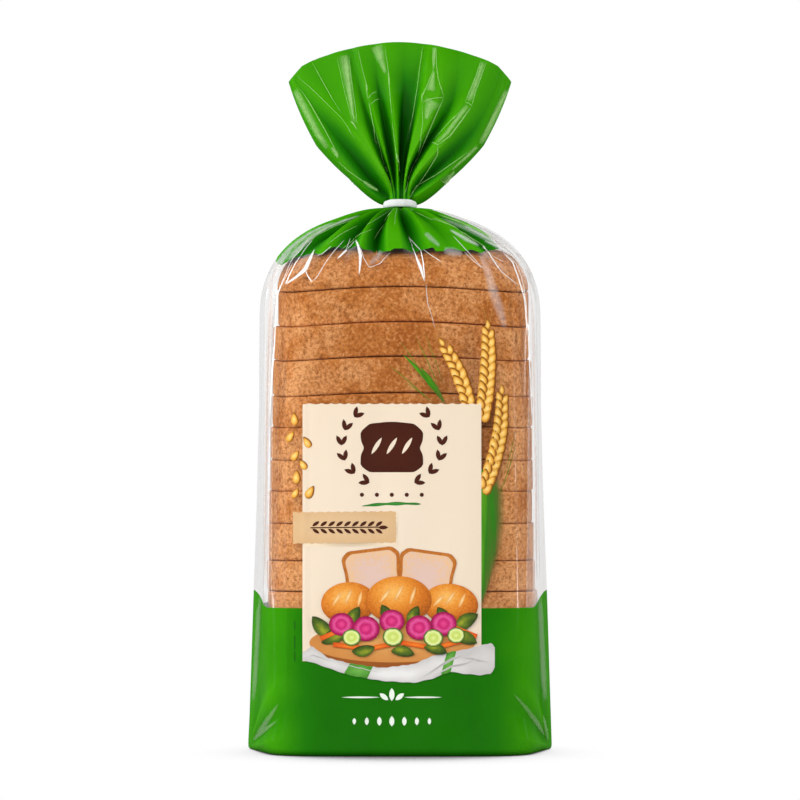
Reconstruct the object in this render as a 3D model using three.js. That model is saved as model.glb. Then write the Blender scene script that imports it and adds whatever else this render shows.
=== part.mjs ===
// A sliced loaf in a plastic bread bag, standing on one end and tied at the neck.
// Millimetres, +Z up, the printed front towards -Y, the origin on the floor under the bag's middle.
// The shut bag is one closed solid: foot, body, shoulder, neck and the pleated fan above the tie.
// The band that ties it is a ring of its own.

import * as THREE from "three";

// The loaf inside, which the film lies against
const LOAF_WIDTH = 101;
const LOAF_DEPTH = 98;
const FILM_GAP = 1.2;
const CORNER_POWER = 5.2; // of the superellipse that is the loaf's square section

// The bag's body
const SHOULDER_HEIGHT = 163.5;
const TAPER_HEIGHT = 130; // the sides draw in from the foot up to here
const SHOULDER_REACH = 53.2; // half width to the fold at each side
const FOOT_REACH = 57.6; // the same at the foot, where the fold ends in a corner
const FOOT_ROUND = 3.6; // radius at which the film turns under the loaf
const CORNER_ROUND = 0.6; // the same at the two corners

// The dome between shoulder and tie
const DOME_RISE = 40.8;
const DOME_POWER = 2.25;

// The tie
const NECK_RADIUS = 4.7;
const BAND_BOTTOM = 204.5;
const BAND_HEIGHT = 3.6;
const BAND_INNER = 5.45;
const BAND_WALL = 1.0;
const BAND_GAP = 0.7;

// The fan of loose film above the tie
const FAN_LENGTH = 58.2;
const FAN_CORNER_EXTRA = 4.2; // the corners reach this much further from the tie
const FAN_SPREAD = THREE.MathUtils.degToRad(43);
const FAN_HALF_DEPTH = 11;
const FAN_WALL = 1.8;
// The two points that bend the film on its way up, each with how far out the side edges run there,
// how high they and the fan's middle are above the tie, and the share of the fan's depth
const FAN_BENDS = [
  { out: 18.5, sideHeight: -3.2, middleHeight: 18, fullness: 0.6 },
  { out: 34, sideHeight: 20, middleHeight: 39, fullness: 0.9 },
];
const MOUTH_DEPTH = 0.6; // share of the fan's height that is open between front and back
const MOUTH_CORNER = 0.06; // share by which the mouth stops short of the fan's corners

// Pleats, counted once round the bag
const PLEATS = 24;
const STEPS_PER_PLEAT = 4;
const STEPS_AROUND = PLEATS * STEPS_PER_PLEAT;
const NECK_PLEAT = 0.4;
const DOME_PLEAT = 3.2;
const FAN_PLEAT = 3.4;
const PLEAT_DRIFT = [0.05, 0.022]; // how unevenly the pleats are spaced, in two waves
const PLEAT_VARIETY = 0.2; // how much their heights differ

const { lerp, smoothstep, clamp } = THREE.MathUtils;
const FULL_TURN = 2 * Math.PI;

// The turn round the bag at a step. The waves leave the folds at both sides where they are.
function turnOf(step) {
  const even = (step / STEPS_AROUND) * FULL_TURN;
  return even + PLEAT_DRIFT[0] * Math.sin(3 * even) + PLEAT_DRIFT[1] * Math.sin(7 * even);
}

// From 1 on a pleat's ridge to -1 in its valley, with ridges of uneven height.
function pleatAt(step) {
  const phase = (step % STEPS_PER_PLEAT) / STEPS_PER_PLEAT;
  const height = 1 - PLEAT_VARIETY + PLEAT_VARIETY * Math.sin((5 * step * FULL_TURN) / STEPS_AROUND + 0.7);
  return height * (4 * Math.abs(phase - 0.5) - 1);
}

// Distance from the axis to the film: a rounded square, drawn out to a fold at each side.
function sectionRadius(turn, reach, inset = 0) {
  const a = LOAF_WIDTH / 2 + FILM_GAP - inset;
  const b = LOAF_DEPTH / 2 + FILM_GAP - inset;
  const cos = Math.abs(Math.cos(turn));
  const sin = Math.abs(Math.sin(turn));
  const n = CORNER_POWER;
  const touchX = a * (a / reach) ** (1 / (n - 1));
  const touchY = b * (1 - (touchX / a) ** n) ** (1 / n);
  if (Math.atan2(sin, cos) < Math.atan2(touchY, touchX))
    return (reach * touchY) / (touchY * cos + (reach - touchX) * sin);
  return ((cos / a) ** n + (sin / b) ** n) ** (-1 / n);
}

function pointAt(turn, radius, height) {
  return new THREE.Vector3(radius * Math.cos(turn), radius * Math.sin(turn), height);
}

function reachAt(height) {
  return lerp(FOOT_REACH, SHOULDER_REACH, clamp(height / TAPER_HEIGHT, 0, 1));
}

function footPoint(step, share) {
  const turn = turnOf(step);
  return pointAt(turn, share * sectionRadius(turn, FOOT_REACH - CORNER_ROUND, FOOT_ROUND), 0);
}

function bodyPoint(step, height) {
  const turn = turnOf(step);
  const low = Math.max(0, 1 - height / FOOT_ROUND);
  const inset = 1 - Math.sqrt(1 - low * low);
  const reach = reachAt(height) - CORNER_ROUND * inset;
  return pointAt(turn, sectionRadius(turn, reach, FOOT_ROUND * inset), height);
}

// climb runs from 0 at the shoulder to 1 at the neck, and the section from square to round.
// Ridges keep to the dome's own curve, and valleys sink below it.
function domePoint(step, climb) {
  const turn = turnOf(step);
  const lean = climb * Math.acos((NECK_RADIUS / SHOULDER_REACH) ** (DOME_POWER / 2));
  const cos = Math.cos(lean);
  const sin = Math.sin(lean);
  const radius = lerp(sectionRadius(turn, SHOULDER_REACH), SHOULDER_REACH, sin * sin);
  const depth = DOME_PLEAT * smoothstep(climb, 0.15, 0.7) * (1 - 0.9 * climb ** 6);
  const fold = (depth * (pleatAt(step) - 1)) / 2;
  return pointAt(
    turn,
    radius * cos ** (2 / DOME_POWER) + fold * cos,
    SHOULDER_HEIGHT + DOME_RISE * sin ** (2 / DOME_POWER) + fold * sin,
  );
}

function neckPoint(step, height) {
  return pointAt(turnOf(step), NECK_RADIUS + NECK_PLEAT * pleatAt(step), height);
}

// climb runs from 0 at the neck to 1 at the rim. inward is 0 outside and 1 on the mouth's inner face.
function fanPoint(step, climb, inward = 0) {
  const turn = turnOf(step);
  const side = turn <= Math.PI ? 1 : -1;
  const across = side > 0 ? 1 - (2 * turn) / Math.PI : (2 * turn) / Math.PI - 3;
  const share = across * (1 - inward * MOUTH_CORNER * across ** 6);
  const lens = side * Math.sqrt(1 - Math.abs(across) ** 3);
  const length = FAN_LENGTH + FAN_CORNER_EXTRA * Math.sin((share * Math.PI) / 2) ** 2;
  const lean = FAN_SPREAD * share;
  const start = neckPoint(step, BAND_BOTTOM + BAND_HEIGHT + BAND_GAP);
  const bends = FAN_BENDS.map(
    ({ out, sideHeight, middleHeight, fullness }) =>
      new THREE.Vector3(
        out * share,
        lens * (fullness * FAN_HALF_DEPTH - inward * FAN_WALL),
        start.z + lerp(middleHeight, sideHeight, share * share),
      ),
  );
  const rim = new THREE.Vector3(
    length * Math.sin(lean),
    lens * (FAN_HALF_DEPTH - inward * FAN_WALL),
    start.z + length * Math.cos(lean),
  );
  const point = new THREE.CubicBezierCurve3(start, ...bends, rim).getPoint(climb);
  point.y += lens * pleatAt(step) * FAN_PLEAT * smoothstep(climb, 0, 0.8);
  return point;
}

function evenly(count, first, last) {
  return Array.from({ length: count }, (_, k) => lerp(first, last, k / (count - 1)));
}

// Every ring of the bag: from the middle of its foot, up the outside, over the rim and down the mouth.
const mouthFloor = fanPoint(STEPS_AROUND / 4, 1 - MOUTH_DEPTH, 1).z - 1;
const rings = [
  () => new THREE.Vector3(0, 0, 0),
  (step) => footPoint(step, 0.5),
  (step) => footPoint(step, 1),
  ...[0.12, 0.4, 1].map((share) => (step) => bodyPoint(step, share * FOOT_ROUND)),
  ...evenly(7, 14, SHOULDER_HEIGHT - 12).map((height) => (step) => bodyPoint(step, height)),
  ...evenly(12, 0, 1).map((climb) => (step) => domePoint(step, climb)),
  (step) => neckPoint(step, BAND_BOTTOM + BAND_HEIGHT / 2),
  ...evenly(11, 0, 1).map((climb) => (step) => fanPoint(step, climb)),
  ...evenly(5, 1, 1 - MOUTH_DEPTH).map((climb) => (step) => fanPoint(step, climb, 1)),
  () => new THREE.Vector3(0, 0, mouthFloor),
];

// A turned shape with one profile point for each ring, whose points then move to the bag's own places.
function bagGeometry() {
  const last = rings.length - 1;
  const profile = rings.map((_, k) => new THREE.Vector2(k === 0 || k === last ? 0 : 1, k));
  const geometry = new THREE.LatheGeometry(profile, STEPS_AROUND);
  const position = geometry.getAttribute("position");
  for (let step = 0; step <= STEPS_AROUND; step++)
    rings.forEach((ring, k) => {
      const { x, y, z } = ring(step % STEPS_AROUND);
      position.setXYZ(step * rings.length + k, x, y, z);
    });
  geometry.computeVertexNormals();
  return geometry;
}

// A ring round the neck whose section has round ends.
function bandGeometry() {
  const end = BAND_WALL / 2;
  const section = new THREE.Path();
  section.absarc(BAND_INNER + end, BAND_HEIGHT - end, end, 0, Math.PI);
  section.absarc(BAND_INNER + end, end, end, Math.PI, FULL_TURN);
  section.closePath();
  return new THREE.LatheGeometry(section.getPoints(6), 48).rotateX(Math.PI / 2);
}

const printedFilm = new THREE.MeshStandardMaterial({ color: 0x2f8f12, roughness: 0.3, metalness: 0 });
const whitePlastic = new THREE.MeshStandardMaterial({ color: 0xf2f2f0, roughness: 0.45, metalness: 0 });

const bag = new THREE.Mesh(bagGeometry(), printedFilm);
bag.name = "bag";

const band = new THREE.Mesh(bandGeometry(), whitePlastic);
band.name = "neck_band";
band.position.z = BAND_BOTTOM;

const loafInBag = new THREE.Group();
loafInBag.add(bag, band);

export default loafInBag;
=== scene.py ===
"""A sliced loaf in a printed plastic bread bag, standing on one end and tied at the neck.

Metres, +Z up, the printed front towards -Y. The film follows the curves of the bag's closed solid in the
frame, with finer folds. It is a printed foot, a clear window, a printed shoulder and the fan above the
tie. The slices stand inside it, and the print on its front lies on the film.
"""

import math

import bmesh
import bpy
import numpy as np
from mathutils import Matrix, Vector
from mathutils.bvhtree import BVHTree


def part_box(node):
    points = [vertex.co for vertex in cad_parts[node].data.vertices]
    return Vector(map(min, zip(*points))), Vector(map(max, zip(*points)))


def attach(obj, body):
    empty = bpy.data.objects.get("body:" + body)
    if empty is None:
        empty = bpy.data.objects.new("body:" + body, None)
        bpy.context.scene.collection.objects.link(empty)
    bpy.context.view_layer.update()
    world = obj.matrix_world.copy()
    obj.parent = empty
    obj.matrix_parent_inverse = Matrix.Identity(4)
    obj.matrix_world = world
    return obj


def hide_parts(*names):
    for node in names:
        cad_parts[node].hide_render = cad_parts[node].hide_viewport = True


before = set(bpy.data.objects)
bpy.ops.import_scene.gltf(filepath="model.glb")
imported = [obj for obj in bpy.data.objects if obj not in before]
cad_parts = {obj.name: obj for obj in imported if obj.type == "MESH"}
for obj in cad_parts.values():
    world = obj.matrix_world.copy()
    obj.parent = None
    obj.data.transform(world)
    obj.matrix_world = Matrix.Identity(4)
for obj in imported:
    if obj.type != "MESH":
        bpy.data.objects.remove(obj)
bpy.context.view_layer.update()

MM = 0.001
FULL_TURN = 2 * math.pi
FRONT = -math.pi / 2  # the turn round the bag that faces the viewer
LEAST = 1e-6  # the least value that may be divided by, and the gap that joined sides may have

# The frame's own sizes
_, bag_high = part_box("bag")
band_low, band_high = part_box("neck_band")
FOOT_REACH = bag_high.x
BAND_OUTER = band_high.x
BAND_MIDDLE = (band_low.z + band_high.z) / 2
BAND_HALF_HEIGHT = (band_high.z - band_low.z) / 2

# The film
FILM_GAP = 1.2 * MM
FILM_HALF_WIDTH = 51.7 * MM
FILM_HALF_DEPTH = bag_high.y
CORNER_POWER = 5.2
SHOULDER_HEIGHT = 163.5 * MM
TAPER_HEIGHT = 130 * MM
SHOULDER_REACH = 53.2 * MM
FOOT_ROUND = 2.4 * MM
CORNER_ROUND = 0.6 * MM
DOME_RISE = 40.8 * MM
DOME_POWER = 2.25
DOME_RUN = 72 * MM  # the film's own length from shoulder to neck
NECK_RADIUS = 4.7 * MM

# The fan
FAN_START = band_high.z + 0.7 * MM
FAN_SIDE_DROP = 1.6 * MM  # how much lower the film leaves the tie at its two sides
FAN_SPREAD = math.radians(44.2)
# The rim's distance from the tie in mm, from the middle of the fan to its side edges
FAN_RIM = (
    (0, 57.6), (0.2, 57.6), (0.4, 58.1), (0.62, 59.4),
    (0.76, 60.7), (0.84, 61.3), (0.92, 60.8), (1, 60.5),
)
FAN_HALF_DEPTH = 11 * MM
FAN_KINK = 1.9 * MM  # how far the side edges stand out where they are bent over
FAN_KINK_CLIMB = ((0.5, 0.72, 1.0), (0.0, 1.0, 0.0))
FAN_PLEAT = 3.4 * MM
# How far out the side edges run at the two bends, their height there, that of the middle, and the
# share of the fan's depth
FAN_BENDS = (
    (4.6 * MM, -9.6 * MM, 17 * MM, 0.6),
    (31.0 * MM, 13.4 * MM, 38 * MM, 0.9),
)


# Mesh helpers


def smoothstep(value, low, high):
    share = np.clip((value - low) / (high - low), 0, 1)
    return share * share * (3 - 2 * share)


def mix(a, b, share):
    return a + (b - a) * share


def shaped_grid(name, across, along, place, closed=False):
    """A grid whose vertices move to place(u, v), with u and v from 0 to 1. closed joins its two sides.

    place also gives each point's painted shade, which the film's colour reads from a UV map of its own.
    """
    bm = bmesh.new()
    sheet = bm.loops.layers.uv.new("sheet")
    bmesh.ops.create_grid(bm, x_segments=across, y_segments=along, size=0.5)
    flat = np.array([vertex.co for vertex in bm.verts])
    spots, painted_shades = place(flat[:, 0] + 0.5, flat[:, 1] + 0.5)
    painted_shades = np.broadcast_to(painted_shades, len(flat)).tolist()
    for vertex, spot, painted_shade in zip(bm.verts, spots.tolist(), painted_shades):
        vertex.co = spot
        for loop in vertex.link_loops:
            loop[sheet].uv = (painted_shade, 0.5)
    if closed:
        bmesh.ops.remove_doubles(bm, verts=bm.verts, dist=LEAST)
    return piece_from(bm, name)


def piece_from(bm, name):
    for face in bm.faces:
        face.smooth = True
    mesh = bpy.data.meshes.new(name)
    bm.to_mesh(mesh)
    bm.free()
    piece = bpy.data.objects.new(name, mesh)
    bpy.context.scene.collection.objects.link(piece)
    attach(piece, "root")
    return piece


def columns(x, y, z):
    return np.stack(np.broadcast_arrays(x, y, z), axis=1)


def wave_noise(seed, count, reach):
    """A smooth function of two values: a sum of waves with seeded directions and phases."""
    draw = np.random.default_rng(seed)
    waves = draw.normal(0, reach, (count, 2))
    phases = draw.uniform(0, FULL_TURN, count)
    heights = draw.uniform(0.5, 1, count)

    def value(a, b):
        total = sum(
            height * np.sin(wave[0] * a + wave[1] * b + phase)
            for wave, phase, height in zip(waves, phases, heights)
        )
        return total / math.sqrt(count)

    return value


# Folds. Each fold is a crease that runs up the film. Its place and height are given at five stages of
# the climb, and between two folds the film is nearly flat. The grids' columns follow the folds.

STAGES = np.linspace(0, 1, 5)


def smooth_stages(table):
    """For each fold, the smooth curve through its values at the stages."""
    return np.linalg.solve(np.vander(STAGES, increasing=True), np.array(table, float).T).T


def read_folds(curves, column, climb):
    """The folds' value at a column, which counts folds, and a climb from 0 to 1."""
    low = np.clip(column.astype(int), 0, len(curves) - 2)
    powers = climb[:, None] ** np.arange(len(STAGES))
    at_low = (curves[low] * powers).sum(axis=1)
    at_high = (curves[low + 1] * powers).sum(axis=1)
    return mix(at_low, at_high, column - low)


# The film's shape


def section_radius(turn, reach, half_width=FILM_HALF_WIDTH, half_depth=FILM_HALF_DEPTH):
    """Distance from the axis to the film: a rounded square, drawn out to a fold at each side."""
    cos = np.abs(np.cos(turn))
    sin = np.abs(np.sin(turn))
    n = CORNER_POWER
    touch_x = half_width * (half_width / reach) ** (1 / (n - 1))
    touch_y = half_depth * (1 - (touch_x / half_width) ** n) ** (1 / n)
    beside = np.arctan2(sin, cos) < np.arctan2(touch_y, touch_x)
    fold = reach * touch_y / (touch_y * cos + (reach - touch_x) * sin)
    return np.where(beside, fold, ((cos / half_width) ** n + (sin / half_depth) ** n) ** (-1 / n))


def turn_gap(turn, middle):
    return (turn - middle + math.pi) % FULL_TURN - math.pi


RIDGE = (0, 0.3, 0.8, 0.7, 0.2)
SOFT_VALLEY = (0, -0.4, -1.3, -2.0, -0.4)
VALLEY = (0, -0.9, -2.6, -3.2, -0.5)
DEEP_VALLEY = (-0.1, -2.0, -3.6, -3.6, -0.5)

# The dome's folds in front: degrees from the front at the shoulder and at the neck, and heights in mm
FRONT_FOLDS = (
    (-88, -85, RIDGE),
    (-80, -78, SOFT_VALLEY),
    (-71, -71, RIDGE),
    (-62, -63, SOFT_VALLEY),
    (-53, -54, RIDGE),
    (-43, -46, VALLEY),
    (-33, -38, RIDGE),
    (-23, -31, VALLEY),
    (-15, -25, RIDGE),
    (-8, -19, DEEP_VALLEY),
    (-2, -12, RIDGE),
    (5, -5, (0, 0.2, 0.5, 0.2, 0)),
    (10, 2, VALLEY),
    (17, 12, RIDGE),
    (27, 21, (0, 0, -0.3, -0.9, -0.3)),
    (38, 31, RIDGE),
    (45, 38, VALLEY),
    (54, 48, RIDGE),
    (63, 58, SOFT_VALLEY),
    (72, 68, RIDGE),
    (81, 77, SOFT_VALLEY),
    (89, 86, RIDGE),
)
BACK_FOLDS = 21
BACK_FOLD_WANDER = 0.25  # share of the gap between two folds
BACK_FOLD_LEAN = 5  # degrees from shoulder to neck

# How far the folds draw the film in, and the shares of the climb over which that starts and ends
DOME_SINK = 1.35 * MM
SINK_STARTS = (0.05, 0.68)
SINK_ENDS = (0.72, 0.95)


def dome_sink(climb):
    return DOME_SINK * smoothstep(climb, *SINK_STARTS) * (1 - smoothstep(climb, *SINK_ENDS))


def dome_fold_curves():
    """The folds all the way round, from the middle of the back through the front: places and heights."""
    draw = np.random.default_rng(11)
    first, last = FRONT_FOLDS[0], FRONT_FOLDS[-1]
    gap = (360 + first[0] - last[0]) / (BACK_FOLDS + 1)
    back = []
    for k in range(BACK_FOLDS):
        low = last[0] + gap * (k + 1) + draw.uniform(-BACK_FOLD_WANDER, BACK_FOLD_WANDER) * gap
        kind = RIDGE if k % 2 else (VALLEY, SOFT_VALLEY, DEEP_VALLEY)[draw.integers(3)]
        back.append((low, low + draw.uniform(-BACK_FOLD_LEAN, BACK_FOLD_LEAN), kind))
    split = BACK_FOLDS // 2
    behind = [(low - 360, high - 360, kind) for low, high, kind in back[split:]]
    folds = behind + list(FRONT_FOLDS) + back[:split]
    folds.append((folds[0][0] + 360, folds[0][1] + 360, folds[0][2]))
    places = [np.linspace(low, high, len(STAGES)) for low, high, _ in folds]
    return smooth_stages(places), smooth_stages([kind for _, _, kind in folds]), len(folds) - 1


DOME_PLACES, DOME_HEIGHTS, DOME_FOLDS = dome_fold_curves()


def shoulder_turn(u):
    """Degrees from the front where a column of the film stands at the shoulder, and on the walls."""
    return read_folds(DOME_PLACES, u * DOME_FOLDS, np.zeros_like(u))


CORNER_CREASES = (-0.17, -0.06, 0.05, 0.16)  # where they stand, as turns from each corner
CREASE_FADE_IN = 25 * MM
CREASE_FADE_OUT = 12 * MM


def wall_creases():
    """Upright creases where the film turns round the loaf's corners."""
    draw = np.random.default_rng(5)
    for corner in range(4):
        for offset in CORNER_CREASES:
            yield {
                "turn": (corner + 0.5) * math.pi / 2 + offset + draw.uniform(-0.02, 0.02),
                "lean": draw.uniform(-0.06, 0.06),
                "width": draw.uniform(0.012, 0.03),
                "height": draw.uniform(0.25, 0.55) * MM,
                "low": draw.uniform(8, 60) * MM,
                "high": draw.uniform(135, 175) * MM,
            }


WALL_CREASES = list(wall_creases())

# The slow waves of the walls, round the bag and up it
SOFT_WAVE = 0.28 * MM
SOFT_WAVE_TURNS = 7
SOFT_WAVE_CLIMB = 38 * MM
soft_waves = wave_noise(3, 9, 1.0)


def wall_folds(turn, run):
    total = SOFT_WAVE * soft_waves(turn * SOFT_WAVE_TURNS, run / SOFT_WAVE_CLIMB)
    for crease in WALL_CREASES:
        middle = crease["turn"] + crease["lean"] * (run / SHOULDER_HEIGHT - 0.5)
        near = np.clip(1 - np.abs(turn_gap(turn, middle)) / crease["width"], 0, 1)
        ends = smoothstep(run, crease["low"], crease["low"] + CREASE_FADE_IN)
        ends *= 1 - smoothstep(run, crease["high"], crease["high"] + CREASE_FADE_OUT)
        total = total + crease["height"] * near * ends
    return total


# The creases that fan out from the foot's corners: their slope in degrees, height in mm and reach in mm
FOOT_CREASES = ((12, 0.7, 40), (28, -0.7, 46), (43, 0.9, 52), (61, -0.6, 40), (76, 0.5, 34))
FOOT_CREASE_HALF = 0.15  # half a crease's width, as an angle
FOOT_CREASE_STARTS = (2 * MM, 12 * MM)
FOOT_CREASE_FADES = 0.4  # share of its reach from which a crease fades
CORNER_SLANT = 0.35  # how much farther from the side fold a point counts towards the front


def foot_creases(turn, run, radius):
    beside = FOOT_REACH - radius * np.abs(np.cos(turn)) + CORNER_SLANT * radius * np.abs(np.sin(turn))
    distance = np.hypot(beside, run)
    angle = np.arctan2(run, np.maximum(beside, LEAST))
    total = np.zeros_like(turn)
    for degrees, height, reach in FOOT_CREASES:
        near = np.clip(1 - np.abs(angle - math.radians(degrees)) / FOOT_CREASE_HALF, 0, 1)
        gone = smoothstep(distance, FOOT_CREASE_FADES * reach * MM, reach * MM)
        total += height * MM * near * (smoothstep(distance, *FOOT_CREASE_STARTS) * (1 - gone))
    return total


# The green film's painted shade, from 0 at the bottom of a fold to 1 on a bare ridge. On the printed
# foot, painted shade darkens the middle and painted light brightens the two sides.
PAINTED_SHADE_ENDS = (0.02, 0.98)
FOOT_PAINTED_SHADE = 0.42
# Painted light on the printed foot's two sides
SIDE_PAINTED_LIGHT = 0.22
SIDE_PAINTED_LIGHT_STARTS = (26 * MM, 50 * MM)
CREASE_PAINTED_LIGHT = 0.1  # painted light for each mm that a crease stands out, and painted shade for each mm that it sinks
# Painted shade of the dome, darker in its valleys
DOME_PAINTED_SHADE = 0.66
DOME_PAINTED_SHADE_STARTS = (0, 0.2)
DOME_FOLD_PAINTED_SHADE = 0.2

# Where the walls' folds start above the foot, and where they end on the dome
WALL_FOLDS_START = (2 * MM, 14 * MM)
WALL_FOLDS_END = (0.3, 0.8)


def film_points(u, run):
    """Points of the film and their painted shade. run is the length up the film: under 0 below the foot."""
    climb = np.clip((run - SHOULDER_HEIGHT) / DOME_RUN, 0, 1)
    turn = FRONT + np.radians(read_folds(DOME_PLACES, u * DOME_FOLDS, climb))
    height = np.clip(run, 0, SHOULDER_HEIGHT)
    low = np.clip(1 - height / FOOT_ROUND, 0, 1)
    inset = 1 - np.sqrt(1 - low * low)
    taper = np.clip(height / TAPER_HEIGHT, 0, 1)
    reach = mix(FOOT_REACH, SHOULDER_REACH, taper) - CORNER_ROUND * inset
    inner = FOOT_ROUND * inset
    square = section_radius(turn, reach, FILM_HALF_WIDTH - inner, FILM_HALF_DEPTH - inner)

    lean = climb * math.acos((NECK_RADIUS / SHOULDER_REACH) ** (DOME_POWER / 2))
    cos, sin = np.cos(lean), np.sin(lean)
    radius = mix(square, SHOULDER_REACH, sin * sin) * cos ** (2 / DOME_POWER)
    rise = DOME_RISE * sin ** (2 / DOME_POWER)

    under = np.clip(1 + run / FOOT_REACH, 0, 1)
    fold = read_folds(DOME_HEIGHTS, u * DOME_FOLDS, climb)
    creases = foot_creases(turn, np.maximum(run, 0), radius) * np.clip(run / FOOT_ROUND, 0, 1)
    on_wall = smoothstep(run, *WALL_FOLDS_START)
    off_dome = 1 - smoothstep(climb, *WALL_FOLDS_END)
    folds = wall_folds(turn, run) * on_wall * off_dome + fold * MM - dome_sink(climb) + creases
    out = radius * under + folds * cos
    spots = columns(out * np.cos(turn), out * np.sin(turn), height + rise + folds * sin)

    # Painted light on the foot's two sides and on raised creases, painted shade in sunken creases
    sides = smoothstep(np.abs(spots[:, 0]), *SIDE_PAINTED_LIGHT_STARTS)
    wall_painted_shade = FOOT_PAINTED_SHADE + SIDE_PAINTED_LIGHT * sides + creases / MM * CREASE_PAINTED_LIGHT
    # Painted shade in the dome's valleys, painted light on its ridges
    dome_painted_shade = DOME_PAINTED_SHADE + DOME_FOLD_PAINTED_SHADE * np.clip(fold, -4, 1) * (0.75 + 0.25 * climb)
    painted_shade = mix(wall_painted_shade, dome_painted_shade, smoothstep(climb, *DOME_PAINTED_SHADE_STARTS))
    return spots, np.clip(painted_shade, *PAINTED_SHADE_ENDS)


# Where the print starts and ends, as lengths up the film

PRINTED_FOOT = 54.5 * MM
PRINTED_FOOT_SIDE = 5.5 * MM  # how much higher the foot's print ends at the side folds

# How near a side fold the foot's print starts to rise, in front and behind, as the turn's cosine
RISE_IN_FRONT = 0.8
RISE_BEHIND = 0.97

# The shoulder print's scalloped edge: degrees from the front, and share of the dome's climb
SHOULDER_EDGE = (
    (-90, 0.35), (-78, 0.335), (-66, 0.3), (-50.3, 0.268), (-48.1, 0.3), (-45.4, 0.34), (-42.4, 0.358),
    (-38, 0.362), (-34.2, 0.345), (-32.5, 0.345), (-30.9, 0.389), (-29.5, 0.412), (-27, 0.414),
    (-25.6, 0.416), (-24.1, 0.412), (-17.2, 0.416), (-13.9, 0.383), (-10.5, 0.398), (-6.5, 0.389),
    (-3.7, 0.372), (-1.4, 0.361), (1.1, 0.383), (7, 0.384), (10.5, 0.381), (13.2, 0.386), (18.3, 0.394),
    (18.9, 0.364), (22.6, 0.368), (25, 0.39), (27.3, 0.392), (31.6, 0.365), (35.5, 0.379), (38.2, 0.351),
    (41.7, 0.379), (44.8, 0.405), (51, 0.399), (55, 0.62), (60, 0.88), (90, 0.94), (118, 0.9), (124, 0.7),
    (129, 0.43), (141, 0.45), (150, 0.42), (163, 0.44), (171, 0.41), (184, 0.45), (196, 0.41),
    (205, 0.44), (219, 0.41), (230, 0.43), (243, 0.41), (256, 0.38), (264, 0.37), (270, 0.35),
)


def foot_edge(u):
    turn = FRONT + np.radians(shoulder_turn(u))
    start = np.where(np.sin(turn) > 0, RISE_BEHIND, RISE_IN_FRONT)
    beside = np.clip((np.abs(np.cos(turn)) - start) / (1 - start), 0, 1)
    return PRINTED_FOOT + PRINTED_FOOT_SIDE * beside


def shoulder_edge(u):
    degrees, shares = zip(*SHOULDER_EDGE)
    turned = (shoulder_turn(u) + 90) % 360 - 90
    return SHOULDER_HEIGHT + DOME_RUN * np.interp(turned, degrees, shares)


FILM_COLUMNS = 16  # grid columns from fold to fold


def film_piece(name, along, low, high):
    """The film all the way round, from one length up the film to another. Both may vary round the bag."""

    def place(u, v):
        return film_points(u, mix(low(u), high(u), v))

    return shaped_grid(name, DOME_FOLDS * FILM_COLUMNS, along, place, closed=True)


def full(value):
    return lambda u: np.full_like(u, value)


# The fan

# The folds of its front, left to right: where each lies between the two side edges, from -1 to 1, and how
# far it stands out, both at the stages from the tie to the rim
FAN_FRONT = (
    ((-1, -1, -1, -1, -1), (0, 0, 0, 0, 0)),
    ((-0.90, -0.945, -0.95, -0.93, -0.97), (0, 0.1, 0.3, 0.4, 0.3)),
    ((-0.72, -0.82, -0.83, -0.86, -0.95), (-0.3, -0.9, -0.8, -0.3, 0)),
    ((-0.50, -0.62, -0.68, -0.77, -0.92), (0.5, 0.8, 0.7, 0.4, 0.2)),
    ((-0.47, -0.60, -0.655, -0.71, -0.76), (0.45, 0.75, 0.65, 0.2, 0.1)),
    ((-0.44, -0.58, -0.63, -0.57, -0.56), (0.4, 0.7, 0.75, 0.4, 0.3)),
    ((-0.42, -0.565, -0.61, -0.51, -0.45), (0.4, 0.7, 0.7, 0.15, 0)),
    ((-0.36, -0.50, -0.50, -0.45, -0.41), (-0.5, -0.8, -0.5, -0.15, 0)),
    ((-0.31, -0.43, -0.40, -0.38, -0.37), (0.4, 0.6, 0.6, 0.35, 0.3)),
    ((-0.22, -0.30, -0.285, -0.25, -0.23), (-0.7, -1.0, -0.8, -0.3, 0)),
    ((-0.10, -0.09, -0.09, -0.12, -0.14), (0.5, 0.8, 0.6, 0.4, 0.3)),
    ((0.01, 0.03, 0.05, 0.05, 0.05), (-0.8, -1.1, -1.0, -0.4, 0)),
    ((0.08, 0.13, 0.165, 0.18, 0.18), (-0.5, -0.75, -0.7, -0.3, 0)),
    ((0.13, 0.20, 0.235, 0.24, 0.23), (-0.7, -1.0, -0.6, 0, 0.15)),
    ((0.19, 0.26, 0.30, 0.285, 0.26), (0.4, 0.6, 0.6, 0.5, 0.3)),
    ((0.25, 0.33, 0.45, 0.46, 0.32), (0.5, 0.8, 0.7, 0.5, 0.3)),
    ((0.34, 0.45, 0.57, 0.60, 0.50), (-0.5, -1.0, -0.9, -0.3, 0)),
    ((0.44, 0.56, 0.65, 0.70, 0.70), (0.4, 0.6, 0.6, 0.4, 0.2)),
    ((0.50, 0.62, 0.72, 0.77, 0.76), (0.5, 0.8, 0.75, 0.45, 0.3)),
    ((0.64, 0.75, 0.84, 0.89, 0.87), (-0.4, -0.9, -0.8, -0.3, 0)),
    ((0.80, 0.88, 0.94, 0.975, 0.965), (0.3, 0.5, 0.4, 0.3, 0.2)),
    ((1, 1, 1, 1, 1), (0, 0, 0, 0, 0)),
)
FAN_BACK_FOLDS = 20
FAN_BACK_WANDER = 0.035
FAN_RIDGE = (0.45, 0.75, 0.65, 0.35, 0.2)
FAN_VALLEY = (-0.5, -0.9, -0.8, -0.3, 0)
FAN_COLUMNS = 14  # grid columns from fold to fold
FAN_ROWS = 170
NECK_SHARE = 0.04  # the part of those rows that lies under the tie


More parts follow.
